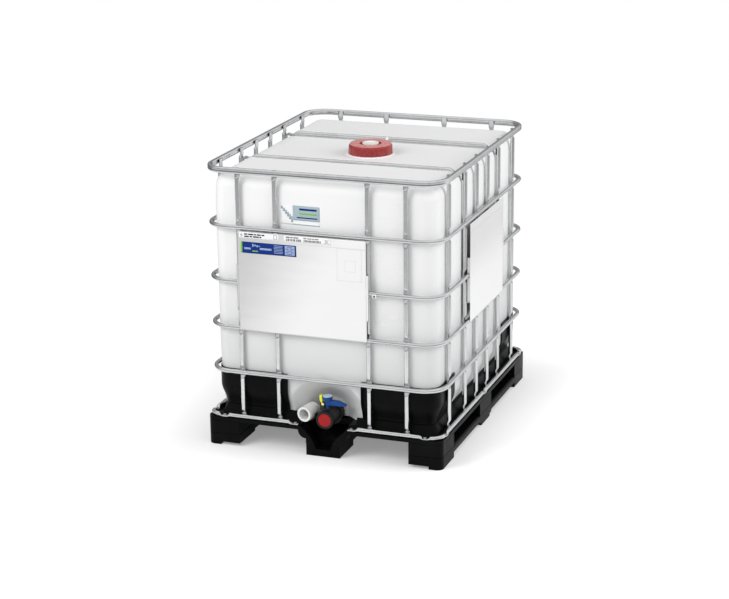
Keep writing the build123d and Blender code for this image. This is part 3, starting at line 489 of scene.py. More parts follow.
for wall, half in (("front", "halfY"), ("rear", "halfY"), ("right", "halfX"), ("left", "halfX")):
    skin = uprightSkin(wall, uprights.get(wall, uprights["side"]), walls[half] - uprights["inset"])
    addPiece(f"{wall}Uprights", skin, galvanised, (f"{wall}_uprights",))
print("stage: uprights made")

# cage rings and top rim: a section carried round the cage
cage = {
    "inset": 10.5, "cornerRadius": 90, "around": 26,
    "rimAround": 52, "rimHalfRound": 4, "rimPinch": 0.17, "rimPinchHeight": 1.6,
}


# a rounded rectangle round the cage: points on its centre line, and the outward direction at each
def cageLoop(cornerRadius, straightStep=40.0, cornerSteps=22):
    cx, cy = (walls[half] - cage["inset"] - cornerRadius for half in ("halfX", "halfY"))
    alongX, alongY = (np.linspace(-c, c, int(2 * c / straightStep)) for c in (cx, cy))
    centre, outward = rectangleLoop(cx, cy, alongX, alongY, cornerSteps)
    return centre + cornerRadius * outward, outward


# rows follow the section, columns follow the path; each section point moves out and up from the path
def carried(path, outward, out, up, height):
    out, up = (np.broadcast_to(part, (len(part), len(path))) for part in (out, up))
    return pointsOf(path[:, 0] + out * outward[:, 0], path[:, 1] + out * outward[:, 1], height + up)


path, outward = cageLoop(cage["cornerRadius"])
angle = roundAngles(cage["around"])[:, None]
for node, height in zip(ringNodes, ringHeights):
    ring = Skin()
    out, up = tubeRadius * np.cos(angle), tubeRadius * np.sin(angle)
    ring.grid(carried(path, outward, out, up, height), wrapRows=True)
    addPiece(pieceName(node), ring, galvanised, (node,))

# the rim's section: two half rounds, one over the other, with a pinch between them
angle = roundAngles(cage["rimAround"])[:, None]
up = tubeRadius * np.sin(angle) + cage["rimHalfRound"] * np.tanh(6 * np.sin(angle))
pinch = cage["rimPinch"] * np.exp(-((up / cage["rimPinchHeight"]) ** 2))
out = tubeRadius * np.cos(angle) * (1 - pinch)
rim = Skin()
rim.grid(carried(path, outward, out, up, middleHeight("top_rim")), wrapRows=True)
addPiece("topRim", rim, galvanised, ("top_rim",))
print("stage: rings and rim made")

# bottom rail: one tube round the pallet edge, pressed flat where it is screwed down
rail = {
    "cornerRadius": 40, "right": 102.5, "left": -105.5, "tabRight": 133, "tabLeft": -136,
    "flatHalf": 9, "taper": 15, "pressedWidth": 10.25, "pressedHeight": 3.5, "pressedPastCorner": 23,
    "around": 26, "step": 5, "cornerSteps": 14,
}
railX, railY = nodeBox("bottom_rail")[1][:2] - tubeRadius
endX, endY = (half - rail["cornerRadius"] - rail["pressedPastCorner"] for half in (railX, railY))
pressedPlaces = np.array(
    [(side * endX, end * railY) for side in (-1, 1) for end in (-1, 1)]
    + [(side * railX, end * endY) for side in (-1, 1) for end in (-1, 1)]
    + [(-railX, 0.0), (railX, 0.0), (0.0, railY)]
)
path, outward = cageLoop(rail["cornerRadius"], rail["step"], rail["cornerSteps"])
onFront = outward[:, 1] < -0.999
onGap = onFront & (path[:, 0] > rail["left"]) & (path[:, 0] < rail["right"])
first = int(np.argmax(np.where(onGap, path[:, 0], -np.inf))) + 1  # the tube starts at the gap's right end
path, outward, onFront, onGap = (np.roll(values, -first, 0) for values in (path, outward, onFront, onGap))
path, outward, onFront = path[~onGap], outward[~onGap], onFront[~onGap]
away = np.linalg.norm(path[:, None] - pressedPlaces, axis=2).min(1)
pressed = smoothStep(1 - (away - rail["flatHalf"]) / rail["taper"])
rightTab = smoothStep((rail["tabRight"] + rail["taper"] - path[:, 0]) / rail["taper"]) * (path[:, 0] > 0)
leftTab = smoothStep((path[:, 0] - rail["tabLeft"] + rail["taper"]) / rail["taper"]) * (path[:, 0] < 0)
pressed = np.maximum(pressed, onFront * np.maximum(rightTab, leftTab))
angle = roundAngles(rail["around"])[:, None]
out = partWay(tubeRadius, rail["pressedWidth"], pressed) * np.cos(angle)
up = partWay(tubeRadius, rail["pressedHeight"], pressed) * (1 + np.sin(angle)) - tubeRadius
bottomRail = Skin()
bottomRail.grid(carried(path, outward, out, up, railHeight).transpose(1, 0, 2), caps=True)
addPiece("bottomRail", bottomRail, galvanised, ("bottom_rail",))

# crossbars: tube with flattened ends, from bracket to bracket
crossbars = {
    "place": 234, "height": 1124, "around": 26,
    "roundTo": 412.7, "flatFrom": 440.7, "flatWidth": 12, "flatHalf": 1.6,
}
angle = roundAngles(crossbars["around"])
for node, side in (("crossbar_front", -1), ("crossbar_rear", 1)):
    ends = np.linspace(crossbars["roundTo"] - 6, nodeBox(node)[1][0], 30)
    middle = np.linspace(10 - crossbars["roundTo"], crossbars["roundTo"] - 10, 30)
    along = np.concatenate([-ends[::-1], middle, ends])[:, None]
    taper = crossbars["flatFrom"] - crossbars["roundTo"]
    flat = smoothStep((np.abs(along) - crossbars["roundTo"]) / taper)
    width = partWay(tubeRadius, crossbars["flatWidth"], flat)
    depth = partWay(tubeRadius, crossbars["flatHalf"], flat)
    y = side * crossbars["place"] + width * np.cos(angle)
    z = crossbars["height"] + depth * (1 + np.sin(angle)) - tubeRadius
    bar = Skin()
    bar.grid(pointsOf(along, y, z), caps=True)
    addPiece(pieceName(node), bar, galvanised, (node,))
roundedCopy("crossbar_brackets", 0.6, galvanised, "galvanised")
for node in ("crossbar_screws", "rail_screws"):
    roundedCopy(node, 0.8, screwMetal, "steel", sharpDegrees=50)
print("stage: rail and crossbars made")

# bottle: rows go up the wall and over the shoulder to the neck, columns go round
bottle = {
    "floor": 136.3, "footRise": 24, "footInset": 31,
    "top": 1128, "shoulderHeight": 60, "shoulderInset": 56,
    "waist": 1112, "waistHalf": 246, "waistSlope": 14,
    "bulge": 6.5, "bulgeSpan": 220, "cornerSwell": 4,
    "bulgeFrom": 330, "bulgeRise": 90, "bulgeTo": 1108, "bulgeFall": 110,
    "recessX": 6, "recessZ": 152, "mouthRadius": 170, "throatRadius": 64, "throatDepth": 470,
    "neckRadius": 75.4, "neckBore": 68.4, "neckTop": 1144.9, "bossRadius": 100, "bossTop": 1115.5,
}


# share of the swelling at height z: none at the foot and the shoulder
def bulgeShare(z):
    low = smoothStep((z - bottle["bulgeFrom"]) / bottle["bulgeRise"])
    return low * smoothStep((bottle["bulgeTo"] - z) / bottle["bulgeFall"])


# how far the wall swells at places along it: a hump between each two uprights, higher over a wider span
def swell(along, z, lines):
    lines = np.array(lines)
    slot = np.clip(np.searchsorted(lines, along) - 1, 0, len(lines) - 2)
    span = lines[slot + 1] - lines[slot]
    phase = np.clip((along - lines[slot]) / span, 0, 1)
    amount = bottle["bulge"] * np.clip(span / bottle["bulgeSpan"], 0.65, 1.15)
    return amount * np.sin(np.pi * phase) ** 1.3 * bulgeShare(z)


# distance of the bottle's front wall from the container's middle
def bottleFront(x, z):
    return walls["cornerY"] + walls["bottleReach"] - flankInset(z) + swell(x, z, uprights["front"])


# the bottle's top over the length: low between the crossbars
def waistHeight(y):
    share = smoothStep((np.abs(y) - bottle["waistHalf"]) / bottle["waistSlope"])
    return partWay(bottle["waist"], bottle["top"], share)


# the recess for the valve: no point stands further out than a cone round the valve's axis
def pressRecess(rows):
    radius = np.hypot(rows[..., 0] - bottle["recessX"], rows[..., 2] - bottle["recessZ"])
    depth = walls["cornerY"] + walls["bottleReach"] + 1 - bottle["throatDepth"]
    slope = depth / (bottle["mouthRadius"] - bottle["throatRadius"])
    cone = bottle["throatDepth"] + np.maximum(radius - bottle["throatRadius"], 0) * slope
    rows[..., 1] = -softMin(-rows[..., 1], cone, 6.0)
    return rows


# heights of the wall's rows and their inset: a quarter ellipse at the foot and at the shoulder
def bottleProfile():
    foot, shoulder = np.linspace(np.pi / 2, 0, 9)[:-1], np.linspace(0, np.pi / 2, 14)
    footTop = bottle["floor"] + bottle["footRise"]
    wallZ = np.concatenate([np.arange(footTop, 350, 8.0), np.arange(350, 1060, 14.0)])
    z, inset = joinedRuns(
        (
            footTop - bottle["footRise"] * np.sin(foot),
            walls["flankDepth"] + bottle["footInset"] * (1 - np.cos(foot)),
        ),
        (wallZ, flankInset(wallZ)),
        (
            bottle["top"] - bottle["shoulderHeight"] * (1 - np.sin(shoulder)),
            bottle["shoulderInset"] * (1 - np.cos(shoulder)),
        ),
    )
    return z[:, None], inset[:, None]


# the wall: the profile carried round the corner centres, with the swelling and the recess
def bottleWall():
    fineX, fineY = np.linspace(-180, 192, 60), np.arange(240, 266, 3.2)  # at the recess and the waist
    alongX = np.union1d(np.linspace(-walls["cornerX"], walls["cornerX"], 52), fineX)
    alongY = np.union1d(np.linspace(-walls["cornerY"], walls["cornerY"], 72), [*fineY, *-fineY])
    centre, outward = rectangleLoop(walls["cornerX"], walls["cornerY"], alongX, alongY, 12)
    z, inset = bottleProfile()
    onFrontOrRear, onSide = np.abs(outward[:, 0]) < 1e-6, np.abs(outward[:, 1]) < 1e-6
    out = swell(centre[:, 0], z, uprights["front"]) * (onFrontOrRear & (outward[:, 1] < 0))
    out = out + swell(centre[:, 0], z, uprights["rear"]) * (onFrontOrRear & (outward[:, 1] > 0))
    out = out + swell(centre[:, 1], z, uprights["side"]) * onSide
    cornerShare = np.sin(2 * np.arctan2(*np.abs(outward.T))) * ~(onFrontOrRear | onSide)
    out = out + bottle["cornerSwell"] * bulgeShare(z) * cornerShare
    reach = walls["bottleReach"] - inset + out
    wall = pointsOf(centre[:, 0] + reach * outward[:, 0], centre[:, 1] + reach * outward[:, 1], z)
    wall[..., 2] = softMin(wall[..., 2], waistHeight(wall[..., 1]), 5.0)
    return pressRecess(wall)


# roof, neck and bore: the wall's top edge drawn in to a circle, then turned steps
def bottleRoof(edge):
    direction = np.arctan2(edge[:, 1], edge[:, 0])
    circle = np.stack([np.cos(direction), np.sin(direction)], -1)
    share = np.linspace(0, 1, 62)[1:, None, None]
    flat = partWay(edge, circle * (bottle["bossRadius"] + 4), share)
    height = softMin(np.full(flat.shape[:2], bottle["top"]), waistHeight(flat[..., 1]), 5.0)
    boss, neck, bore = (bottle[key] for key in ("bossRadius", "neckRadius", "neckBore"))
    bossTop, neckTop = bottle["bossTop"], bottle["neckTop"]
    radii, heights = np.array([
        (boss, bottle["waist"] + 0.4), (boss - 2, bossTop - 0.6), (boss - 4, bossTop), (neck + 2, bossTop),
        (neck, bossTop + 2), (neck, neckTop - 1), (neck - 1, neckTop), (bore + 1, neckTop),
        (bore, neckTop - 1), (bore, 1085.0), (20.0, 1080.0),
    ]).T[:, :, None]
    turned = pointsOf(circle[:, 0] * radii, circle[:, 1] * radii, heights)
    return np.concatenate([pointsOf(flat[..., 0], flat[..., 1], height), turned])


# the base: the wall's foot drawn in towards the middle
def bottleBase(foot):
    share = np.array([0.15, 0.55, 0.85])[:, None]
    return pressRecess(pointsOf(foot[:, 0] * share, foot[:, 1] * share, bottle["floor"]))


# a turned form: rows follow the (radius, distance) steps, columns go round the valve's axis
def turnedOnValve(skin, steps):
    radii, distances = np.array(steps, float).T[:, :, None]
    angle = roundAngles(48)
    x, z = bottle["recessX"] + radii * np.cos(angle), bottle["recessZ"] + radii * np.sin(angle)
    skin.grid(pointsOf(x, -distances, z), caps=True)


bottleSkin = Skin()
wall = bottleWall()
bottleSkin.grid(np.concatenate([bottleBase(wall[0]), wall, bottleRoof(wall[-1, :, :2])]), caps=True)
turnedOnValve(bottleSkin, [(33.5, 464), (33.5, 489), (32.5, 490), (26, 490), (25, 489), (25, 474)])

# lugs beside the crossbars: sections of a rounded square, smaller towards the top
lugs = {
    "places": ((-14, -220.2), (-52, -220.2), (-6, 220.2)), "half": 4.5, "foot": 1111,
    "heights": (0, 3, 21, 22.4, 23), "sizes": (1, 0.98, 0.92, 0.85, 0.6),
}
corner = roundAngles(24)
squareX = np.sign(np.cos(corner)) * np.abs(np.cos(corner)) ** 0.45
squareY = np.sign(np.sin(corner)) * np.abs(np.sin(corner)) ** 0.45
scale = lugs["half"] * np.array(lugs["sizes"])[:, None]
heights = lugs["foot"] + np.array(lugs["heights"])[:, None]
for x, y in lugs["places"]:
    bottleSkin.grid(pointsOf(x + scale * squareX, y + scale * squareY, heights), caps=True)


# numbers as a thin solid mesh: their outline points in millimetres and their faces
def numberShape(text, size, thickness):
    words = bpy.data.curves.new("words", "FONT")
    words.body, words.size, words.extrude, words.align_x = text, size, thickness / 2, "CENTER"
    holder = newObject("words", words)
    flat = bpy.data.meshes.new_from_object(holder.evaluated_get(bpy.context.evaluated_depsgraph_get()))
    points = np.empty(len(flat.vertices) * 3)
    flat.vertices.foreach_get("co", points)
    faces = [list(face.vertices) for face in flat.polygons]
    bpy.data.objects.remove(holder)
    bpy.data.curves.remove(words)
    bpy.data.meshes.remove(flat)
    return points.reshape(-1, 3), faces


# level scale on the front wall: raised numbers and ticks in two columns
levelScale = {
    "right": 297, "left": 243, "size": 19, "proud": 0.9, "ticks": ((-26, 8), (20, 12)),
    "tickHalf": 0.9, "tickDepth": 1.5,
    "litres": {"1000": 1050, "900": 960, "800": 870, "700": 783, "600": 690, "500": 602, "400": 512},
    "gallons": {"250": 1003, "200": 832, "175": 745, "150": 658, "125": 572, "100": 486},
}


# one mark of the scale: a number laid on the wall, and a tick at each side of it
def scaleMark(skin, text, column, height):
    size, proud = levelScale["size"], levelScale["proud"]
    points, faces = numberShape(text, size, proud)
    x, z = column + points[:, 0], height - size / 3 + points[:, 1]
    skin.take(pointsOf(x, -(bottleFront(x, z) + points[:, 2] + proud / 2 - 0.1), z), faces)
    for start, width in levelScale["ticks"]:
        tick = np.linspace(column + start, column + start + width, 4)
        x, z = np.meshgrid(tick, [height - levelScale["tickHalf"], height + levelScale["tickHalf"]])
        y = -(bottleFront(x, z) + proud)
        back = pointsOf(x, y + levelScale["tickDepth"], z)[::-1]
        skin.grid(np.concatenate([pointsOf(x, y, z), back]), wrapRows=True, wrapColumns=False)


scaleSkin = Skin()
for side, unit in (("right", "litres"), ("left", "gallons")):
    for text, height in levelScale[unit].items():
        scaleMark(scaleSkin, text, levelScale[side], height)
addPiece("bottleSkin", bottleSkin, milky, ("bottle",), 60)
addPiece("levelScale", scaleSkin, scaleWhite, sharpDegrees=30)
print("stage: bottle made")

# guards: formed sheets between bottle and cage, high at the corners, low along the other walls
guards = {
    "thickness": 4, "foot": 163.5, "top": 323, "lowTop": 182, "frontEdge": 158, "sideEdge": 335,
    "rib": 9, "belly": 1.6, "bellyFoot": 175, "bellyHeight": 165, "rearPockets": (-90, 90),
    "pocketDepth": 3, "pocketHalf": 9, "pocketZ": 176, "pocketRise": 8,
}


# one corner: a section in plan with a rib at its front edge, round the bottle's corner and along the side,
# carried up the flank, with a low belly in front and the top edge turned in
def cornerGuard(signX, signY):
    cx, cy = walls["cornerX"], walls["cornerY"]
    start = guards["frontEdge"] + 2
    turn = np.linspace(0, np.pi / 2, 22)[1:-1]
    x, y, angle, rib = joinedRuns(
        (start, -cy, -np.pi / 2, guards["rib"] * np.array([1.0, 0.66, 0.3, 0.0])),
        (np.linspace(start + 3, cx, 22), -cy, -np.pi / 2, 0.0),
        (cx, -cy, turn - np.pi / 2, 0.0),
        (cx, np.linspace(-cy, -guards["sideEdge"], 14), 0.0, 0.0),
    )
    plain = np.concatenate([np.linspace(guards["foot"], 250, 24), np.linspace(256, guards["top"] - 3, 12)])
    z, lip = joinedRuns((plain, 0.0), (guards["top"] - 1, [0.6]), (guards["top"], [1.8]))[:, :, None]
    rise = np.clip((z - guards["bellyFoot"]) / guards["bellyHeight"], 0, 1)
    belly = guards["belly"] * np.sin(np.pi * rise)
    bellyShare = np.sin(np.pi * np.clip((x - start) / (cx - start), 0, 1)) * (angle < -1.5)
    reach = walls["guardReach"] - flankInset(z) - lip + rib + belly * bellyShare
    skin = Skin()
    rows = pointsOf(signX * (x + reach * np.cos(angle)), -signY * (y + reach * np.sin(angle)), z)
    skin.grid(rows, wrapColumns=False, flip=signX * signY > 0)
    return skin


for node, signX, signY in (
    ("guard_front_right", 1, -1), ("guard_front_left", -1, -1),
    ("guard_rear_right", 1, 1), ("guard_rear_left", -1, 1),
):
    guard = addPiece(pieceName(node), cornerGuard(signX, signY), black, (node,))
    thicken(guard, guards["thickness"])


# low guard along one wall, with small pressed pockets near its foot
def lowGuard(wall, halfLength, line, pockets):
    along = np.linspace(-halfLength, halfLength, int(halfLength / 4))
    z = np.append(np.linspace(guards["foot"], guards["lowTop"] - 1.5, 14), guards["lowTop"])[:, None]
    pocketRows = smoothStep(1.5 - np.abs(z - guards["pocketZ"]) / guards["pocketRise"])
    dent = sum(smoothStep(1.6 - np.abs(along - place) / guards["pocketHalf"]) for place in pockets)
    reach = line + walls["guardReach"] - flankInset(z) - guards["pocketDepth"] * dent * pocketRows
    skin = Skin()
    skin.grid(onWall(wall, along, reach, z), wrapColumns=False)
    return skin


sidePockets = [(a + b) / 2 for a, b in zip(uprights["side"], uprights["side"][1:])]
for wall, edge, line, pockets in (
    ("right", guards["sideEdge"], walls["cornerX"], sidePockets),
    ("left", guards["sideEdge"], walls["cornerX"], sidePockets),
    ("rear", guards["frontEdge"], walls["cornerY"], guards["rearPockets"]),
):
    node, skin = f"low_guard_{wall}", lowGuard(wall, edge - 0.2, line, pockets)
    thicken(addPiece(pieceName(node), skin, black, (node,)), guards["thickness"])
print("stage: guards made")

# pallet: the CAD mouldings with rounded edges
for node, width, sharpDegrees in (
    ("pallet_deck", 2.2, 24), ("pallet_blocks", 2.5, 40), ("pallet_drain_block", 2.0, 24),
    ("runner_left", 2.5, 40), ("runner_centre", 2.5, 40), ("runner_right", 2.5, 40),
):
    roundedCopy(node, width, black, "black_plastic", sharpDegrees=sharpDegrees)
print("stage: pallet made")

# valve, outlet cap, spare pipe and fill cap: the CAD mouldings with rounded edges
smallPieces = (
    ("fill_cap", 1.2, capRed, "red_plastic", "cap"),
    ("cap_gasket", 0.4, rubber, "seal_rubber", "cap_travel"),
    ("bung_gasket", 0.3, rubber, "seal_rubber", "bung_travel"),
    ("bung", 0.8, white, "white_plastic", "bung"),
    ("neck_gasket", 0.4, rubber, "seal_rubber"),
    ("union_nut", 0.9, darkPlastic, "black_plastic"),
    ("valve_body", 0.9, bodyPlastic, "black_plastic"),
    ("valve_seat", 0.4, rubber, "seal_rubber"),
    ("butterfly_disc", 0.6, darkPlastic, "black_plastic", "valve_lever"),
    ("spindle", 0.5, screwMetal, "steel", "valve_lever"),
    ("lever", 2.0, blue, "blue_plastic", "valve_lever"),
    ("hub_cap", 0.5, paleBlue, "pale_blue_plastic", "valve_lever"),
    ("safety_clip", 0.7, yellow, "yellow_plastic", "safety_clip"),
    ("clip_button", 0.6, paleYellow, "yellow_plastic", "safety_clip"),
    ("outlet_seal", 0.3, rubber, "seal_rubber", "outlet_travel"),
    ("outlet_disc", 0.8, red, "red_plastic", "outlet_cap"),
    ("outlet_nut", 0.9, darkPlastic, "black_plastic", "outlet_cap"),
    ("drain_pipe", 0.6, white, "white_plastic", "drain_pipe"),
    ("pipe_cradle", 0.8, darkPlastic, "black_plastic"),
    # the tag takes the brighter white of the scale marks: painted light against the shade it hangs in
    ("cage_tag", 0.3, scaleWhite, "white_plastic"),
)
for smallPiece in smallPieces:
    roundedCopy(*smallPiece)
print("stage: valve and cap made")

# plates: thin sheets hooked over the rings, a little buckled, with a fold under the top edge
plates = {
    "bottom": 500, "top": 908, "fold": 35, "foldDepth": 0.4, "thickness": 0.8, "buckle": 1.8,
    "front": (599.5, (-343, 193)), "right": (499.5, (-228, 240)),
    "tab": 8, "tabFrom": 585, "tabTo": 771, "hook": 10, "ringGap": (688.7, 707.3),
}
foldLine = plates["top"] - plates["fold"]


# how far a plate stands out at a place: a step in at the fold, and low hollows between the rings
def plateOut(along, z, span):
    across = np.sin(np.pi * np.clip((along - span[0]) / (span[1] - span[0]), 0, 1))
    step = plates["foldDepth"] * smoothStep((z - foldLine + 1.5) / 3.0)
    field = np.interp(z, [plates["bottom"], ringHeights[2], foldLine], [0.0, 1.0, 2.0])
    hollow = plates["buckle"] * np.sin(np.pi * field) ** 2 * (0.35 + 0.65 * across**2) * across**0.5
    return -step - hollow


# distance of the front plate's outer face from the container's middle
def frontPlateFace(x, z):
    face, span = plates["front"]
    return face + plateOut(x, z, span)


# a plate: its sheet, a tab at each side edge, and hooks from the tabs back over the ring
def plateSkin(wall):
    face, span = plates[wall]
    skin = Skin()
    sheetZ = np.concatenate([
        np.linspace(plates["bottom"], foldLine - 3, 60),
        np.linspace(foldLine - 2, foldLine + 2, 7), np.linspace(foldLine + 4, plates["top"], 6),
    ])
    tabZ = np.linspace(plates["tabFrom"], plates["tabTo"], 12)
    areas = [(np.linspace(*span, 90), sheetZ)]
    for edge, side in ((span[0], -1), (span[1], 1)):
        outer = edge + side * plates["tab"]
        areas.append((np.sort([edge, (edge + outer) / 2, outer]), tabZ))
        depth = np.linspace(0, plates["hook"], 5)
        for ends in ((plates["tabFrom"], plates["ringGap"][0]), (plates["ringGap"][1], plates["tabTo"])):
            hook = onWall(wall, outer, face - depth, np.linspace(*ends, 8)[:, None])
            skin.grid(hook, wrapColumns=False, flip=side < 0)
    for along, z in areas:
        along, z = np.meshgrid(along, z)
        skin.grid(onWall(wall, along, face + plateOut(along, z, span), z), wrapColumns=False)
    return skin


for node, wall in (("front_plate", "front"), ("side_plate", "right")):
    plate = addPiece(pieceName(node), plateSkin(wall), sheet, (node,))
    thicken(plate, plates["thickness"])
print("stage: plates made")

# labels: the longest step of their grids, then how far off the face ink and paper lie, and how thick
labels = {"step": 6.0, "ink": (0.36, 0.06), "paper": (0.3, 0.3)}


# evenly spaced places from first to last, none further apart than the step
def spread(first, last):
    return np.linspace(first, last, max(2, int((last - first) / labels["step"]) + 1))


# films that follow a face, each patch given as left, right, bottom and top
def film(name, patches, face, ink, layer=labels["ink"], replaces=()):
    lift, thickness = layer
    skin = Skin()
    for left, right, bottom, top in patches:
        x, z = np.meshgrid(spread(left, right), spread(bottom, top))
        skin.grid(onWall("front", x, face(x, z) + lift, z), wrapColumns=False)
    thicken(addPiece(name, skin, inks[ink], replaces), thickness)


# four bars round a rectangle
def barsRound(left, right, bottom, top, line):
    return [
        (left, right, bottom, bottom + line), (left, right, top - line, top),
        (left, left + line, bottom, top), (right - line, right, bottom, top),
    ]


# blocks in a line: each width in turn, with a gap after it
def blockLine(start, foot, height, widths, gap=3.0):
    ends = np.cumsum(np.array(widths) + gap) + start - gap
    return [(end - width, end, foot, foot + height) for end, width in zip(ends, widths)]


# outer face of the tag on the ring
def tagFace(x, z):
    return np.full_like(x, 599.7)


inks = {
    "filmWhite": (0.84, 0.85, 0.86), "inkGrey": (0.015, 0.015, 0.018), "filmBlue": (0.008, 0.032, 0.20),
    "filmGreen": (0.22, 0.50, 0.05), "filmPale": (0.32, 0.40, 0.62), "filmFaint": (0.74, 0.74, 0.74),
    "filmMist": (0.36, 0.46, 0.50), "filmSteel": (0.36, 0.44, 0.52),
}
inks = {name: printedFilm(name, colour) for name, colour in inks.items()}

# two white strips along the plate's top, with lines of blocks, two signs, two rows of bars and some dots
strips = [(-338, -168, 881, 905), (-147, 49, 881, 905)]
film("stripLabels", strips, frontPlateFace, "filmWhite", labels["paper"], replaces=("plate_stickers",))
marks = blockLine(-315, 895, 5.6, (14, 22, 9, 17, 12)) + blockLine(-315, 886, 5.6, (20, 11, 25, 8))
marks += blockLine(-139, 897, 4, (17, 9, 21)) + blockLine(-65, 897.5, 3.4, (12, 19, 8, 15))
marks += barsRound(-190, -177, 884, 902, 1.4)
marks += [(-334, -321, 892, 894), (-328.5, -326.5, 886, 900)]
starts = np.cumsum(np.tile([4.2, 5.6, 3.6, 7, 4.8], 4))[:13] - 142
marks += [(left, left + wide, 884.5, 893.5) for left, wide in zip(starts, np.tile([2.8, 2, 3.6, 2.4], 4))]
marks += [(left, left + 3.4, 885, 893.5) for left in np.arange(-64, 6, 5.6)]
for k in (0, 1, 3, 4, 6, 9, 10, 12, 13, 15):
    left, foot = 24 + 4 * (k % 4), 885 + 4 * (k // 4)
    marks.append((left, left + 2.8, foot, foot + 2.8))
film("stripMarks", marks, frontPlateFace, "inkGrey")

# blue label under them, with a green edge, pale bars and a square of small squares
film("blueLabel", [(-324, -96, 821, 867)], frontPlateFace, "filmBlue", labels["paper"])
marks = [(-331, -324, 821, 867), (-282, -258, 829, 833.5)]
film("greenEdge", marks, frontPlateFace, "filmGreen", (0.34, 0.3))
marks = [(-144, -102, 825, 863), (-316, -288, 836, 844), (-250, -200, 838, 846)]
marks += [(-190, -152, foot, foot + 2.4) for foot in (829, 835, 841, 847, 853, 859)]
marks += [(-282 + 9 * k, -275 + 9 * k, 848 + 3 * (k % 2), 860 - 2 * k) for k in range(4)]
film("paleMarks", marks, frontPlateFace, "filmPale")
marks = [
    (-140 + 7 * i, -136 + 7 * i, 828 + 7 * j, 831.6 + 7 * j)
    for i in range(5) for j in range(5) if (i * 3 + j * 2) % 4
]
film("paleMarksGrid", marks, frontPlateFace, "filmBlue", (0.42, 0.05))

# white label on the bottle, with a stepped band on its end
marks = [(-171, -118, 943, 1021), (-118, -6, 943, 955)]
film("bottleLabel", marks, bottleFront, "filmWhite", labels["paper"], replaces=("bottle_sticker",))
marks = [(-170 + 8.5 * k, -161.5 + 8.5 * k, 1004 - 10 * k, 1015 - 7.5 * k) for k in range(6)]
film("bottleLabelPicture", marks, bottleFront, "filmMist")

# two faint outlines on the plate: painted shade standing for the edges of an embossed panel
marks = barsRound(72, 175, 742, 872, 2) + barsRound(104, 150, 780, 825.6, 1.6)
film("paintedEmbossShade", marks, frontPlateFace, "filmFaint", (0.12, 0.08))

# pale field of the bottle's label, with its bars, and the mark on the tag
film("bottleLabelField", [(-118, -6, 962, 1021)], bottleFront, "filmMist", labels["paper"])
film("bottleLabelFoot", [(-118, -6, 943, 947)], bottleFront, "filmSteel")
marks = [(-92, -18, 1003, 1011), (-102, -16, 971, 976)]
film("bottleLabelBlue", marks, bottleFront, "filmBlue")
film("bottleLabelGreen", [(-92, -18, 987, 993)], bottleFront, "filmGreen")
film("tagMark", [(221, 228, 686, 694)], tagFace, "inkGrey", (0.03, 0.04))
print("stage: labels made")

# studio: pale floor, soft lamps, and a world that is white behind the object
studio = {
    "floorHalf": 8.0, "floorColour": 0.80, "glow": (0.02, 0.45, 0.25, 0.42), "fade": (1.5, 3.0),
    "ahead": 0.74, "behind": 0.17, "overhead": 0.84, "below": 0.22,
    "mirrorBehind": 0.36, "mirrorRight": 0.92, "mirrorOverhead": 0.95, "mirrorHorizon": 0.65,
    "lamps": (
        ("keyLamp", (-2.4, -3.8, 3.4), 2.6, 105.0),
        ("fillLamp", (4.6, 0.6, 3.2), 3.2, 125.0),
    ),
    "lampAim": (0.0, 0.0, 0.55),
}


# camera rays, rays that see the white behind the object, and mirror rays
def seenRays(shading):
    path = shading.node("ShaderNodeLightPath").socket.node.outputs
    kinds = ("Camera", "Glossy", "Transmission")
    camera, glossy, clear = (Wire(shading, path[f"Is {kind} Ray"]) for kind in kinds)
    return camera, camera + 0.35 * glossy + clear, glossy


# the floor glows a little, more with distance from the object's footprint, and fades into the backdrop
def floorMaterial():
    shade = newShading("floor")
    x, y, _ = shade.axes()
    beyondX, beyondY = (
        shade.maths("MAXIMUM", shade.maths("ABSOLUTE", part) - walls[half] * millimetre, 0.0)
        for part, half in ((x, "halfX"), (y, "halfY"))
    )
    clearance = shade.maths("SQRT", beyondX * beyondX + beyondY * beyondY)
    grain = shade.between(shade.noise(3.0, 2.0), 0.3, 0.7)
    pale = studio["floorColour"]
    colour = shade.mix(grain, (pale, pale, pale), (pale + 0.01, pale + 0.01, pale + 0.01))
    matt = shade.node("ShaderNodeBsdfDiffuse", {"Color": colour})
    strength = seenRays(shade)[1] * shade.between(clearance, *studio["glow"])
    glow = shade.node("ShaderNodeEmission", {"Strength": strength})
    both = shade.node("ShaderNodeAddShader", {0: matt, 1: glow})
    clear = shade.node("ShaderNodeBsdfTransparent")
    fade = shade.between(shade.maths("SQRT", x * x + y * y), *studio["fade"])
    surface = shade.node("ShaderNodeMixShader", {0: fade, 1: both, 2: clear})
    shade.node("ShaderNodeOutputMaterial", {"Surface": surface})
    return shade.owner


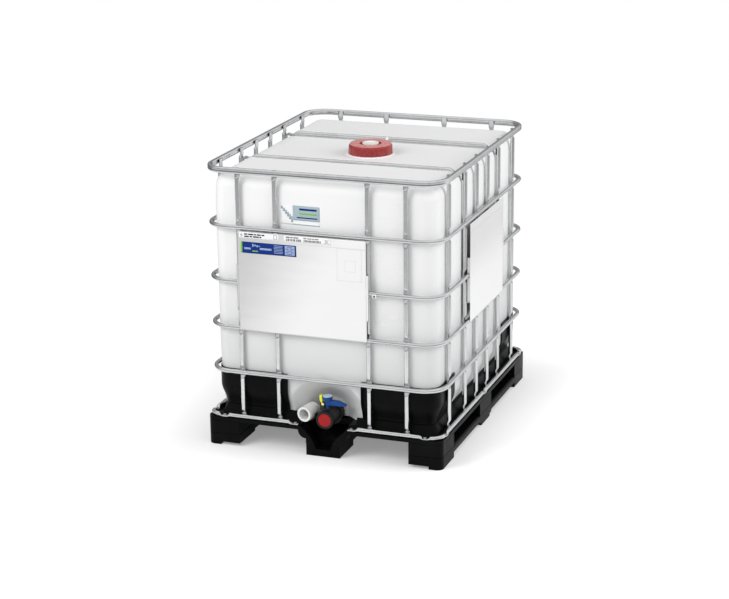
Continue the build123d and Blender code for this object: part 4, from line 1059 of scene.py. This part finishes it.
# a soft room: light ahead and overhead, darker behind and below; mirror rays see a plainer room with a
# dark horizon, but for its right-hand side; camera rays see white
def studioWorld():
    sky = Shading(bpy.data.worlds.new("studio"))
    camera, _, mirror = seenRays(sky)
    x, y, z = sky.axes("Generated")
    rear = sky.between(y - 0.25 * x, -0.15, 0.5)
    rearRight = rear * sky.between(x, 0.1, 0.4)
    level = sky.between(rear, 0.0, 1.0, studio["ahead"], studio["behind"])
    level = level + mirror * rear * (studio["mirrorBehind"] - studio["behind"])
    level = level + mirror * rearRight * (studio["mirrorRight"] - studio["mirrorBehind"])
    top = studio["overhead"] + mirror * (studio["mirrorOverhead"] - studio["overhead"])
    level = level + (top - level) * sky.between(z, 0.55, 0.9)
    level = level * sky.between(z, -0.85, -0.45, studio["below"], 1.0)
    horizon = 1 - sky.between(sky.apart(z, -0.05), 0.10, 0.26)
    level = level * (1 - mirror * studio["mirrorHorizon"] * horizon * (1 - 0.9 * rearRight))
    light = {"Color": (1.0, 1.0, 1.0, 1.0), "Strength": level * (1 - camera) + camera}
    sky.node("ShaderNodeOutputWorld", {"Surface": sky.node("ShaderNodeBackground", light)})
    return sky.owner


reach = studio["floorHalf"]
floorMesh = bpy.data.meshes.new("floor")
corners = [(-reach, -reach, 0), (reach, -reach, 0), (reach, reach, 0), (-reach, reach, 0)]
floorMesh.from_pydata(corners, [], [(0, 1, 2, 3)])
floorMesh.materials.append(floorMaterial())
floor = newObject("floor", floorMesh)
bpy.context.scene.world = studioWorld()
for name, place, size, power in studio["lamps"]:
    lamp = bpy.data.lights.new(name, "AREA")
    lamp.shape, lamp.size, lamp.energy = "DISK", size, power
    holder = newObject(name, lamp)
    holder.location = place
    holder.visible_glossy = False
    holder.rotation_euler = (Vector(place) - Vector(studio["lampAim"])).to_track_quat("Z", "Y").to_euler()

# camera: tilted about its own axis, lifted by the elevation and turned round by the azimuth
viewpoint = {
    "place": (2.7299, -7.5569, 2.9249), "azimuth": 20.092, "elevation": 16.893, "tilt": -0.676,
    "lens": 98.68, "sensor": 36.0,
}
cameraData = bpy.data.cameras.new("camera")
cameraData.lens, cameraData.sensor_width = viewpoint["lens"], viewpoint["sensor"]
camera = newObject("camera", cameraData)
turned = Matrix.Translation(viewpoint["place"])
turns = (viewpoint["azimuth"], "Z"), (90 - viewpoint["elevation"], "X"), (viewpoint["tilt"], "Z")
for angle, axis in turns:
    turned = turned @ Matrix.Rotation(math.radians(angle), 4, axis)
camera.matrix_world = turned
bpy.context.scene.camera = camera
bpy.context.scene.view_settings.view_transform = "Standard"
print("stage: studio and camera ready")
